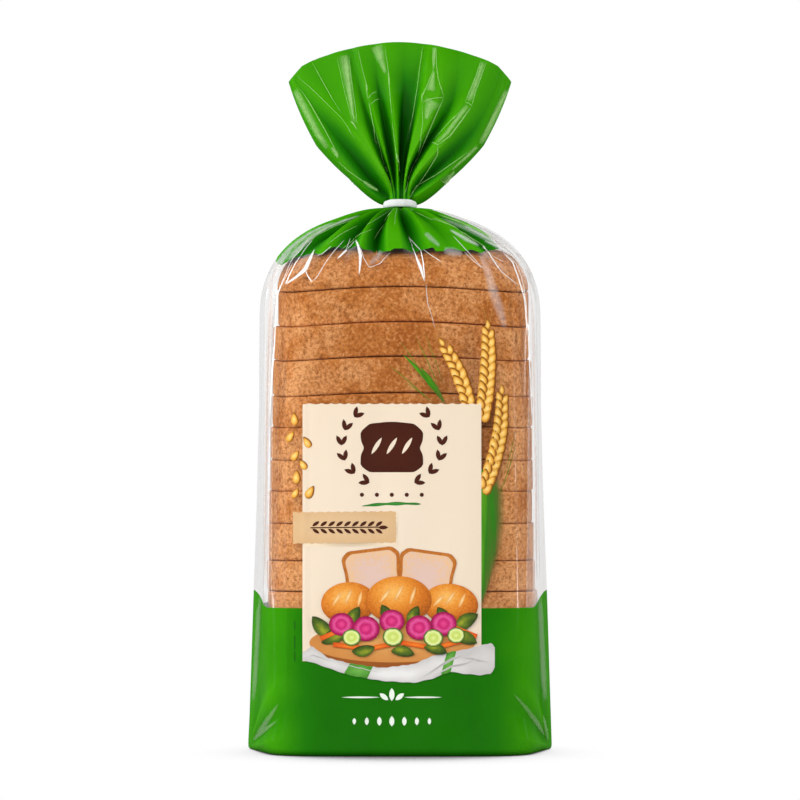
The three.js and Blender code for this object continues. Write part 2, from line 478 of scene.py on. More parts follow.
def fan_back_folds():
    """Folds of the same kind for its back, from left to right as the front's."""
    draw = np.random.default_rng(8)
    last = FAN_BACK_FOLDS - 1
    folds = []
    for k in range(FAN_BACK_FOLDS):
        inside = 0 < k < last
        wander = draw.uniform(-FAN_BACK_WANDER, FAN_BACK_WANDER, len(STAGES))
        places = 2 * k / last - 1 + inside * wander
        tops = np.array(FAN_RIDGE if k % 2 else FAN_VALLEY)
        folds.append((places, inside * tops * draw.uniform(0.6, 1.1)))
    return folds


def fan_curves(folds):
    places, heights = zip(*folds)
    return smooth_stages(places), smooth_stages(heights)


FAN_SIDES = {"back": fan_curves(fan_back_folds()), "front": fan_curves(FAN_FRONT)}
FAN_SECTION_POWER = 3
PLEATS_FULL = 0.3  # the climb at which the pleats reach their full depth
KINK_OUT = 0.8
KINK_DOWN = 0.6
KINK_POWER = 8  # keeps the kink to the side edges
# The fan's painted shade: painted light on ridges, painted shade in valleys and near the tie
FAN_PAINTED_SHADE = 0.66
FAN_FOLD_PAINTED_SHADE = 0.5
NECK_PAINTED_SHADE = 0.16


def fan_points(side, column, climb):
    """Points of one side of the fan and their painted shade, from 0 at the tie to 1 at the rim."""
    outward = -1.0 if side == "front" else 1.0
    places, heights = FAN_SIDES[side]
    across = np.clip(read_folds(places, column, climb), -1, 1)
    fold = read_folds(heights, column, climb)
    lens = outward * np.sqrt(np.clip(1 - np.abs(across) ** FAN_SECTION_POWER, 0, 1))
    length = np.interp(np.abs(across), *zip(*FAN_RIM)) * MM
    spread = FAN_SPREAD * across
    quarter = across * math.pi / 2
    start_x = NECK_RADIUS * np.sin(quarter)
    start_y = outward * NECK_RADIUS * np.cos(quarter)
    spots = [(start_x, start_y, -FAN_SIDE_DROP * across**2)]
    for out, side_height, middle_height, fullness in FAN_BENDS:
        rise = mix(middle_height, side_height, across**2)
        spots.append((out * across, lens * fullness * FAN_HALF_DEPTH, rise))
    spots.append((length * np.sin(spread), lens * FAN_HALF_DEPTH, length * np.cos(spread)))
    rest = 1 - climb
    shares = (rest**3, 3 * rest**2 * climb, 3 * rest * climb**2, climb**3)
    x, y, z = (sum(share * spot[axis] for share, spot in zip(shares, spots)) for axis in range(3))
    y = y + lens * fold * FAN_PLEAT * smoothstep(climb, 0, PLEATS_FULL)
    kink = FAN_KINK * np.interp(climb, *FAN_KINK_CLIMB) * np.abs(across) ** KINK_POWER
    x = x + KINK_OUT * kink * np.sign(across)
    z = z - KINK_DOWN * kink
    # Painted shade: lighter on ridges, darker in valleys and towards the tie
    painted_shade = FAN_PAINTED_SHADE + FAN_FOLD_PAINTED_SHADE * fold * (1.2 - 0.6 * climb) - NECK_PAINTED_SHADE * (1 - climb)
    return columns(x, y, FAN_START + z), np.clip(painted_shade, *PAINTED_SHADE_ENDS)


def fan_piece():
    """The fan and the neck under it, once round: the back from right to left, then the front."""
    last_back = FAN_BACK_FOLDS - 1
    panels = last_back + len(FAN_FRONT) - 1

    def place(u, v):
        climb = np.clip((v - NECK_SHARE) / (1 - NECK_SHARE), 0, 1)
        column = u * panels
        back_spots, back_painted_shades = fan_points("back", np.clip(last_back - column, 0, None), climb)
        front_spots, front_painted_shades = fan_points("front", np.clip(column - last_back, 0, None), climb)
        behind = column < last_back
        spots = np.where(behind[:, None], back_spots, front_spots)
        dome_top = SHOULDER_HEIGHT + DOME_RISE
        in_neck = mix(dome_top, spots[:, 2], v / NECK_SHARE)
        spots[:, 2] = np.where(v < NECK_SHARE, in_neck, spots[:, 2])
        return spots, np.where(behind, back_painted_shades, front_painted_shades)

    return shaped_grid("film_fan", panels * FAN_COLUMNS, FAN_ROWS, place, closed=True)


# The tie

TIE_ROUND = 0.85 * MM  # half the ring's thickness
TIE_FILL = 0.82  # share of the band's height
TIE_SQUARENESS = (0.7, 0.75)  # across and up: the lower, the squarer its section
TIE_RIPPLE = 0.07 * MM
TIE_RIPPLES = 13
TIE_SINK = 0.2 * MM
TIE_PINCH = 0.16  # share of its height that it loses at the two sides
TIE_DIP = 0.55 * MM


def powered(value, power):
    return np.sign(value) * np.abs(value) ** power


def tie_piece():
    """A soft white band. Its ends dip a little, because the film pulls them down at the two sides."""
    ring = BAND_OUTER - TIE_ROUND
    across_power, up_power = TIE_SQUARENESS

    def place(u, v):
        turn, round_section = u * FULL_TURN, v * FULL_TURN
        bulge = np.cos(round_section)
        ripple = TIE_RIPPLE * np.sin(turn * TIE_RIPPLES) * np.clip(bulge, 0, 1)
        out = ring + TIE_ROUND * powered(bulge, across_power) + ripple
        up = BAND_HALF_HEIGHT * TIE_FILL * powered(np.sin(round_section), up_power)
        sides = np.cos(turn) ** 4
        up = up * (1 - TIE_PINCH * sides) - TIE_SINK - TIE_DIP * sides
        return columns(out * np.cos(turn), out * np.sin(turn), BAND_MIDDLE + up), 0.5

    return shaped_grid("tie_band", 160, 32, place, closed=True)


# The loaf

SLICES = (12.4, 12.0, 11.8, 11.7, 11.9, 11.4, 13.9, 12.1, 11.7, 12.3, 11.7, 13.3, 12.6, 13.0)
HEEL = 14.2
HEEL_ROUND = 13 * MM
CUT_ROUND = 0.9 * MM
CUT_GAP = 0.3 * MM
LOAF_BOTTOM = 0.8 * MM
LOAF_HALF_WIDTH = 49.6 * MM
LOAF_HALF_DEPTH = FILM_HALF_DEPTH - FILM_GAP
SIDE_BULGE = 0.5 * MM
LOAF_SHIFT = 0.5 * MM  # the stack leans a little to the right in the bag

# How the slices change up the stack, each with the heights where the change starts and ends
FOOT_WIDENING = 0.9 * MM
FOOT_WIDE = (60 * MM, 110 * MM)
TOP_NARROWING = 1.1 * MM
TOP_BOW = 3.8 * MM
UPPER = (60 * MM, 172 * MM)
HEEL_NARROWING = 1.5 * MM
HEEL_SHIFT = 0.5 * MM
NEAR_HEEL = (125 * MM, 180 * MM)

# How far one slice differs from the next
SLICE_SHIFT = 0.45 * MM
SLICE_TURN = 0.006
SLICE_SHRINK = 0.5 * MM

CRUST_RELIEF = 0.12 * MM
RELIEF_TURNS = 3
RELIEF_CLIMB = 9 * MM
crust_relief = wave_noise(31, 24, 9.0)

# Along a slice's profile, from the middle of its lower face to that of its upper one: where the lower
# rounding starts, where it ends, and the same for the upper one
PROFILE = (0.18, 0.26, 0.62, 0.82)


def slice_piece(name, bottom, thickness, draw, heel=False):
    """One slice, crust round the side, bowed up in the middle towards the top of the stack."""
    middle_z = bottom + thickness / 2
    higher = float(smoothstep(middle_z, *UPPER))
    near_heel = float(smoothstep(middle_z, *NEAR_HEEL))
    widening = FOOT_WIDENING * (1 - float(smoothstep(middle_z, *FOOT_WIDE)))
    bow = TOP_BOW * higher
    shift_x, shift_y = draw.uniform(-SLICE_SHIFT, SLICE_SHIFT, 2)
    shift_x += LOAF_SHIFT + HEEL_SHIFT * near_heel
    turned = draw.uniform(-SLICE_TURN, SLICE_TURN)
    shrink = draw.uniform(0.0, SLICE_SHRINK) + TOP_NARROWING * higher + HEEL_NARROWING * near_heel
    rounding = HEEL_ROUND if heel else CUT_ROUND
    low_start, low_end, high_start, high_end = PROFILE

    def place(u, v):
        turn = u * FULL_TURN
        half_width = LOAF_HALF_WIDTH - shrink + widening
        edge = section_radius(turn, half_width + SIDE_BULGE, half_width, LOAF_HALF_DEPTH - shrink)
        edge = edge + CRUST_RELIEF * crust_relief(turn * RELIEF_TURNS, middle_z / RELIEF_CLIMB)
        low_turn = np.clip((v - low_start) / (low_end - low_start), 0, 1) * math.pi / 2
        high_turn = np.clip((v - high_start) / (high_end - high_start), 0, 1) * math.pi / 2
        side = np.clip((v - low_end) / (high_start - low_end), 0, 1)
        share = np.clip(v / low_start, 0, 1) * np.clip((1 - v) / (1 - high_end), 0, 1)
        inset = CUT_ROUND * (1 - np.sin(low_turn)) + rounding * (1 - np.cos(high_turn))
        height = CUT_ROUND * (1 - np.cos(low_turn)) + side * (thickness - CUT_ROUND - rounding)
        height = height + rounding * np.sin(high_turn)
        radius = (edge - inset) * share
        z = bottom + height - bow * ((radius / LOAF_HALF_DEPTH) ** 2 - 1)
        angle = turn + turned
        return columns(radius * np.cos(angle) + shift_x, radius * np.sin(angle) + shift_y, z), 0.5

    return shaped_grid(name, 240, 50, place, closed=True)


def loaf():
    draw = np.random.default_rng(2)
    bottom = LOAF_BOTTOM
    made = []
    for k, thickness in enumerate((*SLICES, HEEL)):
        heel = k == len(SLICES)
        made.append(slice_piece(f"slice_{k + 1:02d}", bottom, thickness * MM - CUT_GAP, draw, heel))
        bottom += thickness * MM
    return made


# The print on the front. Each shape is worked out on the front's plane, in millimetres across and up,
# from a patch of its own whose coordinates a and b run from -1 to 1, and then laid on the film.

PRINT_LIFT = 0.1 * MM  # how far the first ink lies off the film
INK_LAYER = 0.035 * MM  # and each further one off the last
RAY_START = -0.2
RIBBON_CELL = 0.9  # mm along a strip
RIBBON_STEP = 0.6


class Print:
    """All the patches of one ink, on one layer, in one piece."""

    def __init__(self, name, layer):
        self.name = name
        self.lift = PRINT_LIFT + layer * INK_LAYER
        self.bm = bmesh.new()
        self.uv = self.bm.loops.layers.uv.new("patch")

    def patch(self, place, across, along, is_round=False, over=0.0):
        """A grid of cells moved by place. over is in mm, how far it lies above the piece's own layer."""
        made = bmesh.ops.create_grid(self.bm, x_segments=across, y_segments=along, size=1)["verts"]
        for vertex in made:
            a, b = vertex.co.x, vertex.co.y
            if is_round:
                a, b = a * math.sqrt(1 - b * b / 2), b * math.sqrt(1 - a * a / 2)
            for loop in vertex.link_loops:
                loop[self.uv].uv = ((a + 1) / 2, (b + 1) / 2)
            x, z = place(a, b)
            vertex.co = (x * MM, over * MM, z * MM)

    def disc(self, x, z, half_width, half_height, turned=0.0, cells=4, over=0.0):
        shape = stretched(half_width, half_height)
        self.patch(placed(x, z, turned, shape), cells, cells, is_round=True, over=over)

    def bar(self, x, z, half_width, half_height, turned=0.0, cells=(4, 2), over=0.0):
        shape = stretched(half_width, half_height)
        self.patch(placed(x, z, turned, shape), *cells, over=over)

    def leaf(self, x, z, half_length, half_width, turned=0.0, curl=0.0, cells=(8, 2), over=0.0):
        """A pointed shape along its own a axis."""

        def shape(a, b):
            return a * half_length, b * half_width * (1 - a * a) ** 0.8 + curl * (1 - a * a)

        self.patch(placed(x, z, turned, shape), *cells, over=over)

    def grain(self, x, z, half_length, half_width, turned=0.0, over=0.0):
        """A kernel, fuller at its foot than at its tip."""

        def shape(a, b):
            return a * half_length, b * half_width * (1 - 0.42 * a)

        self.patch(placed(x, z, turned, shape), 6, 6, is_round=True, over=over)

    def ribbon(self, knots):
        """A strip along the line through the knots, each an x, a z and a half width."""
        line = np.array(knots)
        steps = np.hypot(*np.diff(line[:, :2], axis=0).T)
        lengths = np.concatenate(((0,), np.cumsum(steps)))
        whole = lengths[-1]

        def at(length):
            return np.array([np.interp(length, lengths, line[:, k]) for k in range(3)])

        def place(a, b):
            length = (a + 1) / 2 * whole
            ahead, back = at(length + RIBBON_STEP), at(length - RIBBON_STEP)
            x, z, half = at(length)
            run = math.hypot(ahead[0] - back[0], ahead[1] - back[1])
            return x - b * half * (ahead[1] - back[1]) / run, z + b * half * (ahead[0] - back[0]) / run

        self.patch(place, max(4, round(whole / RIBBON_CELL)), 2 + 2 * int(line[:, 2].max() > 1))

    def lay_on(self, film, behind=False):
        """Moves every point to the film along the view from the front, or from behind."""
        side = -1 if behind else 1
        for vertex in self.bm.verts:
            over = vertex.co.y
            start = Vector((vertex.co.x, side * RAY_START, vertex.co.z))
            spot, normal, _, _ = film.ray_cast(start, Vector((0, side, 0)))
            if spot is None:
                spot, normal, _, _ = film.find_nearest(Vector((vertex.co.x, side * -8 * MM, vertex.co.z)))
            if normal.y * side > 0:
                normal = -normal
            vertex.co = spot + normal * (self.lift + over)
        bmesh.ops.recalc_face_normals(self.bm, faces=self.bm.faces)
        return piece_from(self.bm, self.name)


def stretched(half_width, half_height):
    return lambda a, b: (a * half_width, b * half_height)


def placed(x, z, turned, shape):
    """shape's points, turned and moved. turned is in degrees, anticlockwise to the viewer."""
    cos, sin = math.cos(math.radians(turned)), math.sin(math.radians(turned))

    def place(a, b):
        across, up = shape(a, b)
        return x + across * cos - up * sin, z + across * sin + up * cos

    return place


def point_off(x, z, reach, degrees):
    """The point that lies reach away in that direction."""
    angle = math.radians(degrees)
    return x + reach * math.cos(angle), z + reach * math.sin(angle)


def squared(a, b, limit):
    """How much farther out a disc's point lies on a square with round corners, rounder for a high limit."""
    return 1 / max(max(abs(a), abs(b), LEAST) / max(math.hypot(a, b), LEAST), limit)


PANEL_LEFT, PANEL_RIGHT = -35.8, 29.9
PANEL_BOTTOM, PANEL_TOP = 35.0, 129.9
PANEL_CELLS = (260, 90)
DECKLE = 0.4  # mm that the panel's top edge dips
DECKLE_WAVE = 0.85
DECKLE_POWER = 40  # keeps the dips to the edge


def panel_print():
    ink = Print("print_panel", layer=2)
    ripple = wave_noise(41, 5, 1.0)

    def place(a, b):
        x = mix(PANEL_LEFT, PANEL_RIGHT, (a + 1) / 2)
        wave = abs(math.sin(x * DECKLE_WAVE + ripple(x / 5, 0)))
        deckle = DECKLE * wave * max(0, b) ** DECKLE_POWER
        return x, mix(PANEL_BOTTOM, PANEL_TOP, (b + 1) / 2) - deckle

    ink.patch(place, *PANEL_CELLS)
    return ink


EMBLEM_X, EMBLEM_Z = -3.0, 112.0
LOAF_ICON = (11.5, 8.5)
LOAF_ICON_ROUND = 0.82
LOAF_ICON_CROWN = 0.18  # share of its height
LOAF_ICON_WAIST = 0.1  # share of its width
LOAF_CUT = (3.6, 0.75)
LOAF_CUT_GAP = 5.6
LOAF_CUT_TURN = 58
SPRIG_LEAVES = 6  # pairs in each sprig
SPRIG_START, SPRIG_STEP = 228, 21  # degrees round the loaf, from the first pair and to the next
SPRIG_TILT = 28  # degrees between a leaf and its sprig
SPRIG_LEAF = (2.1, 0.85)
SPRIG_LEAF_OUT = 1.9
SPRIG_WIDTH = 18.5
SPRIG_DROP = 15.5
DOTS_HEIGHT = 96.2
DOT_GAP = 5.5
DOT_RADIUS = 0.8


def loaf_icon(a, b):
    half_width, half_height = LOAF_ICON
    crown = LOAF_ICON_CROWN * half_height * (1 - a * a) if b > 0 else 0
    waist = 1 - LOAF_ICON_WAIST * math.exp(-((b - 0.05) / 0.22) ** 2)
    full = squared(a, b, LOAF_ICON_ROUND)
    return a * half_width * full * waist, b * half_height * full + crown * b


def emblem_print():
    """A loaf between two wheat sprigs."""
    ink = Print("print_emblem", layer=3)
    ink.patch(placed(EMBLEM_X, EMBLEM_Z + 1, 0, loaf_icon), 24, 18, is_round=True)
    for side in (-1, 1):
        for k in range(SPRIG_LEAVES):
            angle = math.radians(SPRIG_START + SPRIG_STEP * k)
            x = EMBLEM_X - side * SPRIG_WIDTH * math.cos(angle - math.pi / 2)
            z = EMBLEM_Z + 2.5 + SPRIG_DROP * math.sin(angle - math.pi / 2)
            along = 90 - side * (math.degrees(angle) - 270)
            for turned in (along - SPRIG_TILT, along + SPRIG_TILT):
                spot = point_off(x, z, SPRIG_LEAF_OUT, turned)
                ink.leaf(*spot, *SPRIG_LEAF, turned, cells=(4, 2))
    for k in range(-2, 3):
        ink.disc(EMBLEM_X + k * DOT_GAP, DOTS_HEIGHT, DOT_RADIUS, DOT_RADIUS, cells=2)
    return ink


def emblem_cuts():
    ink = Print("print_emblem_cuts", layer=4)
    for k in (-1, 0, 1):
        ink.leaf(EMBLEM_X + LOAF_CUT_GAP * k, EMBLEM_Z + 2.2, *LOAF_CUT, LOAF_CUT_TURN)
    return ink


STROKE_X, STROKE_Z, STROKE_TURN = -3.2, 92.4, 2
STROKE_HALF = (11, 0.55)
STROKE_BOW = 0.5
STROKE_ROUGH = 0.25  # share of its width


def stroke_print():
    ink = Print("print_stroke", layer=3)

    def shape(a, b):
        thick = STROKE_HALF[1] * (1 - a * a) ** 0.4 * (1 + STROKE_ROUGH * math.sin(9 * a))
        return STROKE_HALF[0] * a, b * thick + STROKE_BOW * (1 - a * a)

    ink.patch(placed(STROKE_X, STROKE_Z, STROKE_TURN, shape), 24, 2)
    return ink


TAG_X, TAG_Z = -20.4, 84.2
TAG_HALF = (18.9, 5.75)
TAG_TURN = 0.6
TAG_FRAY = 0.2  # mm that its ends are ragged
TAG_RAGGED = (0.14, 0.1)  # and its long edges, in long waves and in short ones


def tag_print():
    ink = Print("print_tag", layer=5)

    def shape(a, b):
        ragged = TAG_RAGGED[0] * math.sin(37 * a) + TAG_RAGGED[1] * math.sin(61 * a + 2)
        frayed = TAG_FRAY * math.sin(23 * b)
        return a * TAG_HALF[0] + a * a * a * frayed, b * TAG_HALF[1] + b * b * b * ragged

    ink.patch(placed(TAG_X, TAG_Z, TAG_TURN, shape), 60, 14)
    return ink


def tag_shadow():
    ink = Print("print_tag_shadow", layer=4)
    ink.bar(TAG_X + 2.2, TAG_Z - 0.9, TAG_HALF[0] - 1.5, TAG_HALF[1] + 0.3, TAG_TURN, (30, 10))
    return ink


TAG_STALK = (12.5, 0.22)
TAG_GRAIN = (1.6, 0.62)
TAG_GRAIN_GAP = 2.9
TAG_GRAIN_UP = 1.35
TAG_GRAIN_TILT = 34  # degrees
TAG_TIP = (1.9, 0.75)
TAG_TIP_REACH = 14.2


def tag_sprig():
    ink = Print("print_tag_sprig", layer=6)
    ink.bar(TAG_X, TAG_Z, *TAG_STALK, TAG_TURN, (20, 1))
    for k in range(-4, 5):
        x = TAG_X + TAG_GRAIN_GAP * k + 1.1
        for side in (-1, 1):
            tilt = side * TAG_GRAIN_TILT + TAG_TURN
            ink.leaf(x, TAG_Z + side * TAG_GRAIN_UP, *TAG_GRAIN, tilt, cells=(4, 2))
    ink.leaf(TAG_X + TAG_TIP_REACH, TAG_Z, *TAG_TIP, TAG_TURN, cells=(4, 2))
    return ink


# Wheat: each ear from its tip down to its foot, bending by its curl

EARS = (
    {"tip": (15.4, 152.5), "foot": (25.4, 128.5), "curl": 1.4, "nodes": 8, "size": 1.0},
    {"tip": (32.4, 159.0), "foot": (30.6, 126.0), "curl": 0.9, "nodes": 11, "size": 1.08},
    {"tip": (37.6, 135.0), "foot": (31.4, 99.5), "curl": 2.0, "nodes": 12, "size": 1.04},
)
KERNEL_STEP = 0.004  # mm that each kernel lies above the next one up
KERNEL_HALF = (2.45, 1.5)
KERNEL_OUT = 1.5  # mm from the ear's middle line
KERNEL_SHIFT = 0.75  # mm that one row's kernels are moved up the ear, and the other's down
AWN_HALF = (2.6, 0.09)


def ear_axis(ear, share):
    """A point on the ear's middle line and its upward direction there. share is 0 at the foot."""
    (tip_x, tip_z), (foot_x, foot_z) = ear["tip"], ear["foot"]
    bend = 4 * share * (1 - share)
    slope = 4 * (1 - 2 * share)
    dx, dz = tip_x - foot_x, tip_z - foot_z
    length = math.hypot(dx, dz)
    side_x, side_z = dz / length, -dx / length
    x = foot_x + dx * share + side_x * ear["curl"] * bend
    z = foot_z + dz * share + side_z * ear["curl"] * bend
    up_x = dx + side_x * ear["curl"] * slope
    up_z = dz + side_z * ear["curl"] * slope
    return x, z, math.degrees(math.atan2(up_z, up_x))


def wheat_print():
    """Each ear is two rows of plump kernels. A lower kernel's tip lies over the next one's foot."""
    ink = Print("print_wheat", layer=0)
    draw = np.random.default_rng(50)
    for ear in EARS:
        for k in range(ear["nodes"] + 1):
            share = k / ear["nodes"]
            x, z, up = ear_axis(ear, share)
            size = ear["size"] * (0.72 + 0.28 * math.sin(math.pi * min(1, 0.25 + 0.75 * share)))
            over = KERNEL_STEP * (ear["nodes"] - k)
            if k == ear["nodes"]:
                ink.grain(x, z, 2.4 * size, 1.2 * size, up, over)
                continue
            for side in (-1, 1):
                spot = point_off(x, z, KERNEL_OUT * size, up + side * 90)
                spot = point_off(*spot, KERNEL_SHIFT * size * side, up)
                turned = up + side * draw.uniform(17, 27)
                full = size * draw.uniform(0.93, 1.07)
                half_length, half_width = KERNEL_HALF
                kernel_over = over + side * KERNEL_STEP / 4
                ink.grain(*spot, half_length * full, half_width * full, turned, kernel_over)
    return ink


def awn_print():
    """The fine bristles of the ears."""
    ink = Print("print_awns", layer=0)
    draw = np.random.default_rng(51)
    for ear in EARS:
        for k in range(3, ear["nodes"] + 1):
            x, z, up = ear_axis(ear, k / ear["nodes"])
            for side in (-1, 1):
                turned = up + side * draw.uniform(9, 20)
                reach = draw.uniform(3.2, 5.2)
                ink.leaf(*point_off(x, z, reach, turned), *AWN_HALF, turned, cells=(5, 1))
    return ink


GRAINS = (
    (-38.7, 124.2), (-40.2, 117.6), (-34.2, 115.6), (-38.4, 110.6),
    (-35.6, 107.4), (-37.9, 102.8), (-38.3, 96.8), (-33.0, 97.2),
)


def grain_print():
    ink = Print("print_grains", layer=4)
    draw = np.random.default_rng(52)
    for x, z in GRAINS:
        size = draw.uniform(0.9, 1.2)
        ink.grain(x, z, 2.2 * size, 1.2 * size, draw.uniform(55, 125))
    return ink


# The blades of grass: across, height, half length and width, turn in degrees and curl
BLADES = (
    (8.5, 139.0, 11.5, 0.75, -50, 0.8),
    (12.0, 136.5, 8.0, 0.9, -56, 0.4),
    (3.5, 137.0, 11.0, 0.14, -42, 0.5),
    (6.0, 143.0, 12.0, 0.12, -58, 0.6),
    (10.5, 143.5, 12.5, 0.12, -66, 0.4),
    (12.5, 146.0, 11.0, 0.1, -70, 0.3),
    (7.5, 133.5, 7.0, 0.12, -35, 0.4),
    (39.6, 106.0, 11.0, 0.12, 72, -0.5),
    (40.4, 112.0, 9.0, 0.1, 76, -0.4),
)


def blade_print():
    ink = Print("print_blades", layer=0)
    for x, z, half_length, half_width, turned, curl in BLADES:
        ink.leaf(x, z, half_length, half_width, turned, curl, cells=(24, 4))
    return ink


# The broad leaf beside the panel: height and how far right it reaches, in mm
BROAD_LEAF = (
    (105.5, 31.2), (102, 36.4), (97, 38.5), (86, 38.6),
    (76, 37.2), (66, 34.0), (60, 32.0), (56.5, 30.2),
)


def broad_leaf_print():
    ink = Print("print_broad_leaf", layer=0)
    heights, reaches = zip(*reversed(BROAD_LEAF))

    def broad(a, b):
        z = mix(heights[0], heights[-1], (b + 1) / 2)
        return mix(PANEL_RIGHT - 0.5, np.interp(z, heights, reaches), (a + 1) / 2), z

    ink.patch(broad, 8, 48)
    return ink


# The food picture: two slices, three rolls, leaves and vegetables on a board, on a cloth

FOOD_STEP = 0.02  # mm that each piece of food lies above the one before it
BOARD = (-2.8, 41.8, 30.5, 7.2)
BOARD_THICKNESS = 3.6
TOASTS = ((-10.0, 66.5, 7, 11.0), (9.5, 66.0, -8, 10.8))
TOAST_ROUND = 0.8
TOAST_CELLS = (20, 20)
TOAST_FILL = (0.92, 0.9)  # shares of its size, across and up
TOAST_LOBE = 0.06  # how much wider it is at the top
CRUMB_SHARE = 0.88
# The cuts on a roll. How far apart, how high and how long they are is given as shares of the roll's half
# width or height.
SCORE_GAP = 0.42
SCORE_HEIGHT = 0.3
SCORE_DROP = 0.12
SCORE_LENGTH = 0.4
SCORE_WIDTH = 0.62  # half of it, in mm
SCORE_TURN = 62  # degrees
SCORE_SPLAY = 10
ROLLS = ((-19.0, 56.5, 10.0, 7.6, 5), (18.5, 56.0, 10.2, 7.5, -6), (-0.4, 57.5, 12.0, 8.8, 0))


def toast_shape(size):
    """A slice seen face on: a square with two soft lobes at its top."""

    def shape(a, b):
        full = squared(a, b, TOAST_ROUND)
        lobe = 1.0 + TOAST_LOBE * float(smoothstep(b, 0.1, 0.6))
        return a * size * full * lobe * TOAST_FILL[0], b * size * full * TOAST_FILL[1]

    return shape


def bread_prints():
    """Two slices behind three round rolls with scored tops."""
    crusts = Print("print_toast_crusts", layer=5)
    crumbs = Print("print_toast_crumbs", layer=6)
    for k, (x, z, turned, size) in enumerate(TOASTS):
        over = 2 * k * INK_LAYER / MM
        crusts.patch(placed(x, z, turned, toast_shape(size)), *TOAST_CELLS, is_round=True, over=over)
        crumb = toast_shape(size * CRUMB_SHARE)
        crumbs.patch(placed(x, z, turned, crumb), *TOAST_CELLS, is_round=True, over=over)
    rolls = Print("print_rolls", layer=9)
    scores = Print("print_roll_scores", layer=10)
    for k, (x, z, half_width, half_height, turned) in enumerate(ROLLS):
        over = 2 * k * INK_LAYER / MM
        rolls.disc(x, z, half_width, half_height, turned, 16, over)
        for cut in (-1, 0, 1):
            scores.leaf(
                x + cut * half_width * SCORE_GAP,
                z + half_height * (SCORE_HEIGHT - SCORE_DROP * abs(cut)),
                half_height * SCORE_LENGTH,
                SCORE_WIDTH,
                SCORE_TURN + SCORE_SPLAY * cut + turned,
                over=over,
            )
    return crusts, crumbs, rolls, scores


# Across and height, then for a leaf its half length and width, turn and curl, for a stick of carrot its
# turn, and for a slice its radius
SALAD_LEAVES = (
    (-28.0, 48.0, 5.5, 2.7, 140, 1.0),
    (-24.0, 43.5, 5.2, 2.6, 200, -0.8),
    (-16.5, 50.8, 4.6, 2.3, 70, 0.8),
    (-5.5, 51.5, 4.6, 2.3, 105, -0.8),
    (5.5, 51.0, 4.6, 2.3, 75, 0.8),
    (15.5, 50.5, 4.8, 2.4, 110, -0.8),
    (24.5, 49.0, 5.4, 2.6, 40, 0.9),
    (23.5, 43.0, 5.0, 2.4, -15, 0.9),
    (-13.5, 39.4, 4.4, 2.1, 190, 0.6),
    (1.0, 38.2, 4.4, 2.0, -8, 0.6),
    (13.0, 39.2, 4.4, 2.1, -14, 0.6),
)
CARROTS = (
    (-24.0, 45.6, 24), (-19.0, 40.5, -7), (-8.5, 40.2, 12),
    (6.0, 41.0, -10), (17.5, 41.2, 15), (23.0, 46.2, -22),
)
CARROT_HALF = (5.6, 0.85)
BEETS = ((-21.5, 48.6, 4.6), (-3.0, 49.8, 4.6), (16.0, 48.8, 4.8), (-12.5, 47.0, 5.0), (7.0, 47.4, 4.9))
CUCUMBERS = ((-17.8, 43.8, 3.4), (-2.6, 44.0, 3.8), (12.2, 43.6, 3.6), (20.6, 44.6, 3.2))


def round_slices(name, layer, table, flatness):
    ink = Print(name, layer)
    for k, (x, z, radius) in enumerate(table):
        ink.disc(x, z, radius, radius * flatness, cells=12, over=k * FOOD_STEP)
    return ink


def salad_prints():
    leaves = Print("print_leaves", layer=14)
    for k, (x, z, half_length, half_width, turned, curl) in enumerate(SALAD_LEAVES):
        leaves.leaf(x, z, half_length, half_width, turned, curl, (10, 4), k * FOOD_STEP)
    carrot = Print("print_carrot", layer=15)
    for k, (x, z, turned) in enumerate(CARROTS):
        carrot.bar(x, z, *CARROT_HALF, turned, (8, 2), k * FOOD_STEP)
    beet = round_slices("print_beet", 18, BEETS, 0.92)
    cucumber = round_slices("print_cucumber", 22, CUCUMBERS, 0.9)
    return leaves, carrot, beet, cucumber


def board_prints():
    x, z, half_width, half_height = BOARD
    edge = Print("print_board_edge", layer=3)
    edge.disc(x, z - BOARD_THICKNESS, half_width, half_height + 0.3, cells=30)
    board = Print("print_board", layer=4)
    board.disc(x, z, half_width, half_height, cells=30)
    return edge, board


# The cloth under the board, left to right: across, and its lower and upper edge
CLOTH = (
    (-35.7, 35.4, 38.2),
    (-32.3, 34.6, 40.6),
    (-26.5, 32.6, 36.3),
    (-18.7, 29.9, 34.3),
    (-6.5, 27.8, 32.6),
    (5.2, 27.1, 34.0),
    (11.8, 28.6, 37.0),
    (18.5, 31.2, 38.5),
    (23.6, 30.4, 39.3),
    (29.5, 29.9, 40.8),
    (33.6, 30.4, 41.8),
    (34.8, 33.0, 40.0),
)

# Its stripes: where the middle is and half the width. Its folds: where each starts and ends, across and
# up, and how thick it is. All are shares of the cloth, from -1 to 1.
CLOTH_STRIPES = ((-0.42, 0.12), (0.52, 0.05))
STRIPE_SLANT = 0.03
STRIPE_HEIGHT = 0.995
CLOTH_FOLDS = (
    (0.22, 0.75, -0.7, 0.8, 0.13),
    (0.35, 0.86, -0.9, 0.2, 0.11),
    (-0.98, -0.7, -0.4, 0.6, 0.12),
    (0.6, 0.97, 0.5, -0.3, 0.09),
    (-0.62, -0.2, 0.75, 0.2, 0.07),
)


def cloth_shape(a, b):
    across, lows, highs = zip(*CLOTH)
    x = mix(across[0], across[-1], (a + 1) / 2)
    ruffle = 0.12 * math.sin(1.7 * x) * (b + 1) / 2 - 0.1 * math.sin(1.1 * x + 1) * (1 - b) / 2
    return x, mix(np.interp(x, across, lows), np.interp(x, across, highs), (b + 1) / 2) + ruffle


